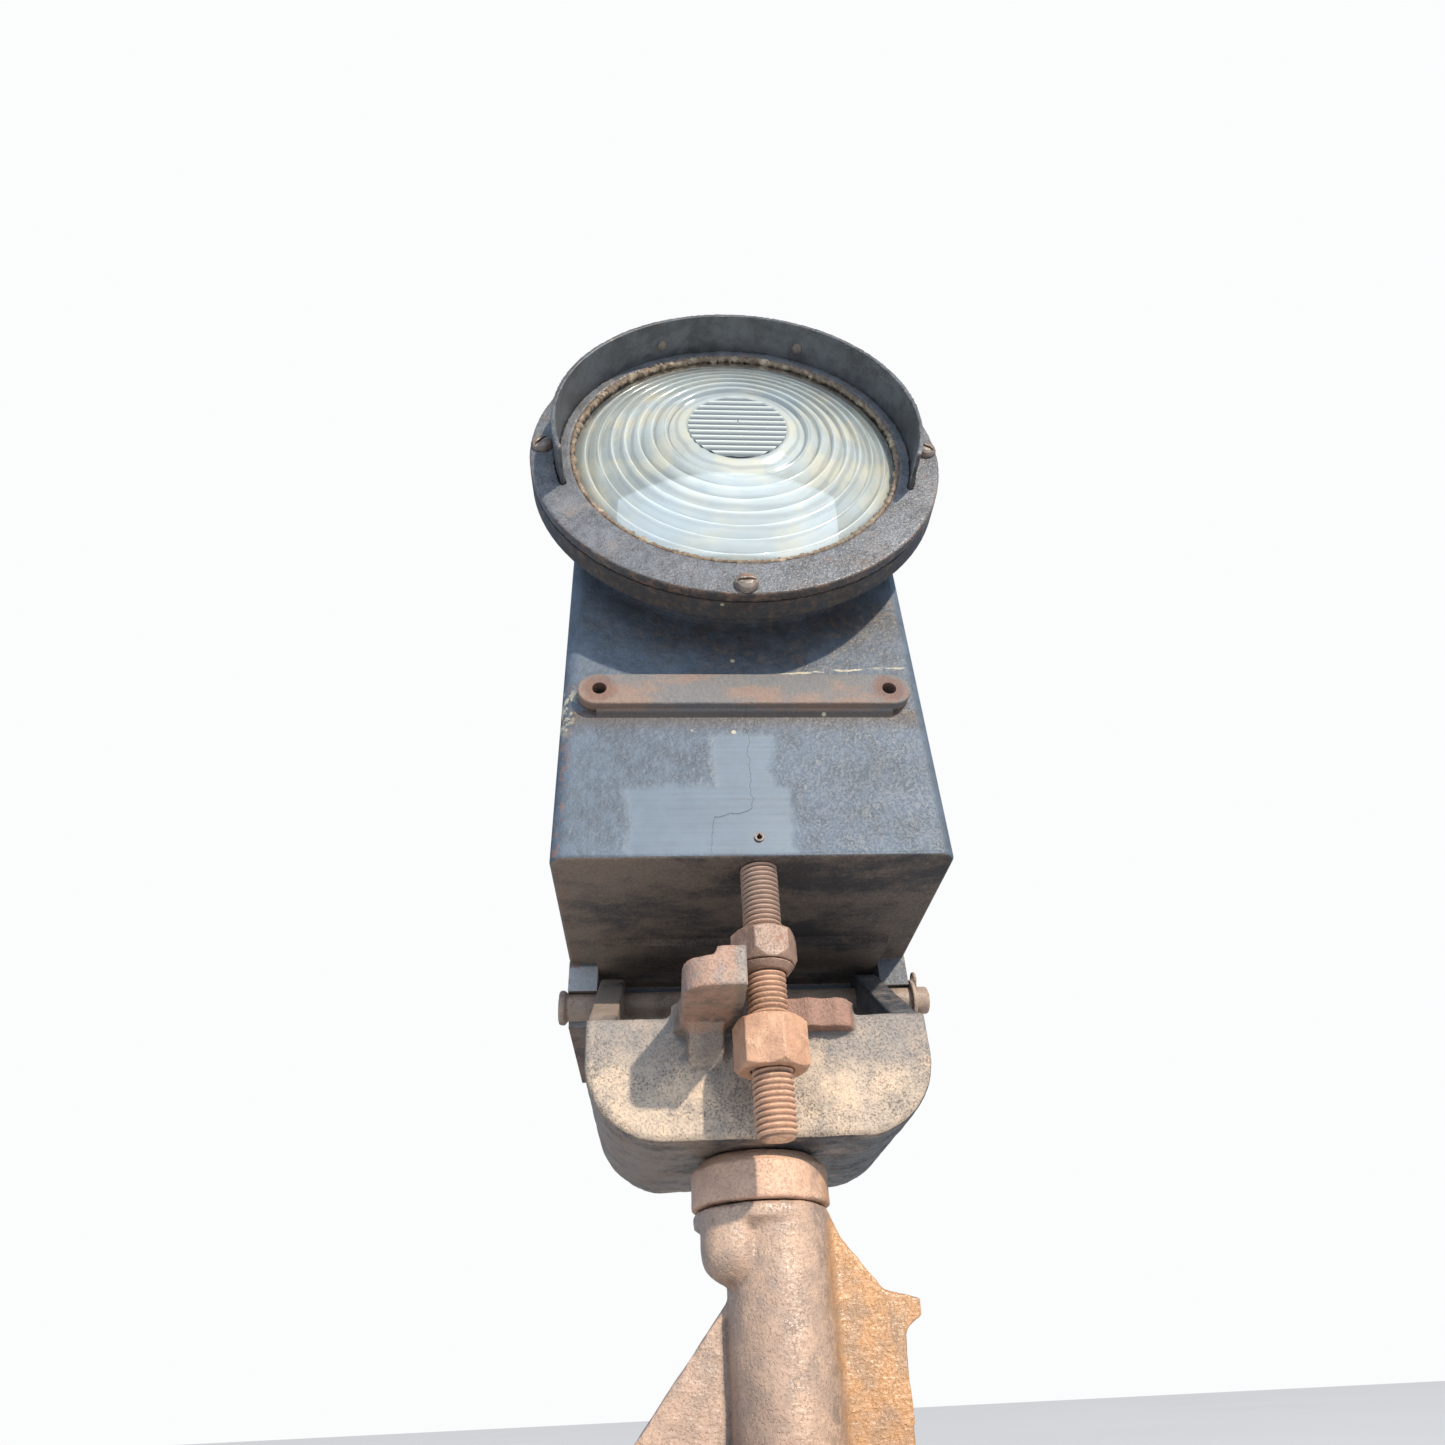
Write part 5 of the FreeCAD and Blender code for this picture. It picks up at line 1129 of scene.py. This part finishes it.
# ---------------------------------------------------------------- studio
@dataclass(frozen=True)
class Studio:
    """Pale floor, soft light and the camera that looks up at the lens."""

    place: Colour = (-0.045, -0.4806, 0.033)
    look: Colour = (0.0639, 0.798, 0.5993)
    up: Colour = (0.002, -0.6006, 0.7995)
    lens: float = 22.85
    sun: float = 4.5
    sun_tilt: float = 64.0
    sun_turn: float = 25.0
    sky: float = 0.52

    def camera(self) -> None:
        """Place the camera."""
        data = bpy.data.cameras.new("camera")
        data.lens, data.sensor_width, data.clip_start = self.lens, 36.0, 0.01
        thing = show("camera", data)
        look = Vector(self.look).normalized()
        right = look.cross(Vector(self.up)).normalized()
        up = right.cross(look)
        matrix = Matrix((right, up, -look)).transposed().to_4x4()
        matrix.translation = Vector(self.place)
        thing.matrix_world = matrix
        bpy.context.scene.camera = thing

    def lights(self) -> None:
        """A soft sun from the right and a low wide softbox in front."""
        sun = bpy.data.lights.new("sun", "SUN")
        sun.energy, sun.angle, sun.color = self.sun, math.radians(1.6), (1.0, 0.87, 0.7)
        key = show("sun", sun)
        key.rotation_euler = (math.radians(self.sun_tilt), 0, math.radians(self.sun_turn))
        box = bpy.data.lights.new("softbox", "AREA")
        box.shape, box.size, box.size_y, box.energy = "RECTANGLE", 3.0, 1.28, 27.0
        box.color = (0.72, 0.86, 1.0)
        soft = show("softbox", box)
        soft.location = (0.0, -2.1, 0.97)
        soft.rotation_euler = (math.radians(94), 0, 0)

    @staticmethod
    def shade_from_sun(piece: Piece) -> None:
        """Keep the sun's own mirror image off a clear piece."""
        lit = bpy.data.collections.new("sun_lit")
        bpy.data.objects["sun"].light_linking.receiver_collection = lit
        lit.objects.link(piece)
        lit.collection_objects[0].light_linking.link_state = "EXCLUDE"

    def sky_light(self) -> None:
        """Pale sky that is white behind the object."""
        world = bpy.data.worlds.new("sky")
        bpy.context.scene.world = world
        world.use_nodes = True
        nodes, links = world.node_tree.nodes, world.node_tree.links
        background, output = nodes["Background"], nodes["World Output"]
        background.inputs["Color"].default_value = (0.52, 0.71, 1.0, 1)
        background.inputs["Strength"].default_value = self.sky
        white = nodes.new("ShaderNodeBackground")
        white.inputs["Color"].default_value = (0.97, 0.975, 0.98, 1)
        path, mix = nodes.new("ShaderNodeLightPath"), nodes.new("ShaderNodeMixShader")
        links.new(path.outputs["Is Camera Ray"], mix.inputs[0])
        links.new(background.outputs[0], mix.inputs[1])
        links.new(white.outputs[0], mix.inputs[2])
        links.new(mix.outputs[0], output.inputs["Surface"])

    def floor(self) -> None:
        """Wide pale floor just under the foot."""
        size, z = 6.0, CAD_BOX[0][2] - 0.0005
        corners = np.array([(-size, -size, z), (size, -size, z), (size, size, z), (-size, size, z)])
        floor = new_object("floor", corners, [(0, 1, 2, 3)], smooth=False)
        s = Shader("floor_card")
        tint = s.blend(s.grain(400, 3), (0.7, 0.69, 0.67), (0.76, 0.75, 0.73))
        floor.data.materials.append(s.finish(Base_Color=tint, Roughness=0.85))

    def build(self) -> None:
        """Set the whole studio."""
        self.camera()
        self.lights()
        self.sky_light()
        self.floor()
        bpy.context.scene.view_settings.view_transform = "Standard"


def main() -> None:
    """Build the studio, then every piece."""
    logging.basicConfig(level=logging.INFO, format="%(name)s: %(message)s")
    Studio().build()
    dress_nodes()
    for casting in CASTINGS:
        casting.build()
    LevellingStud().build()
    StepLens().build()
    CrumblingGasket().build()


if __name__ == "__main__":
    main()
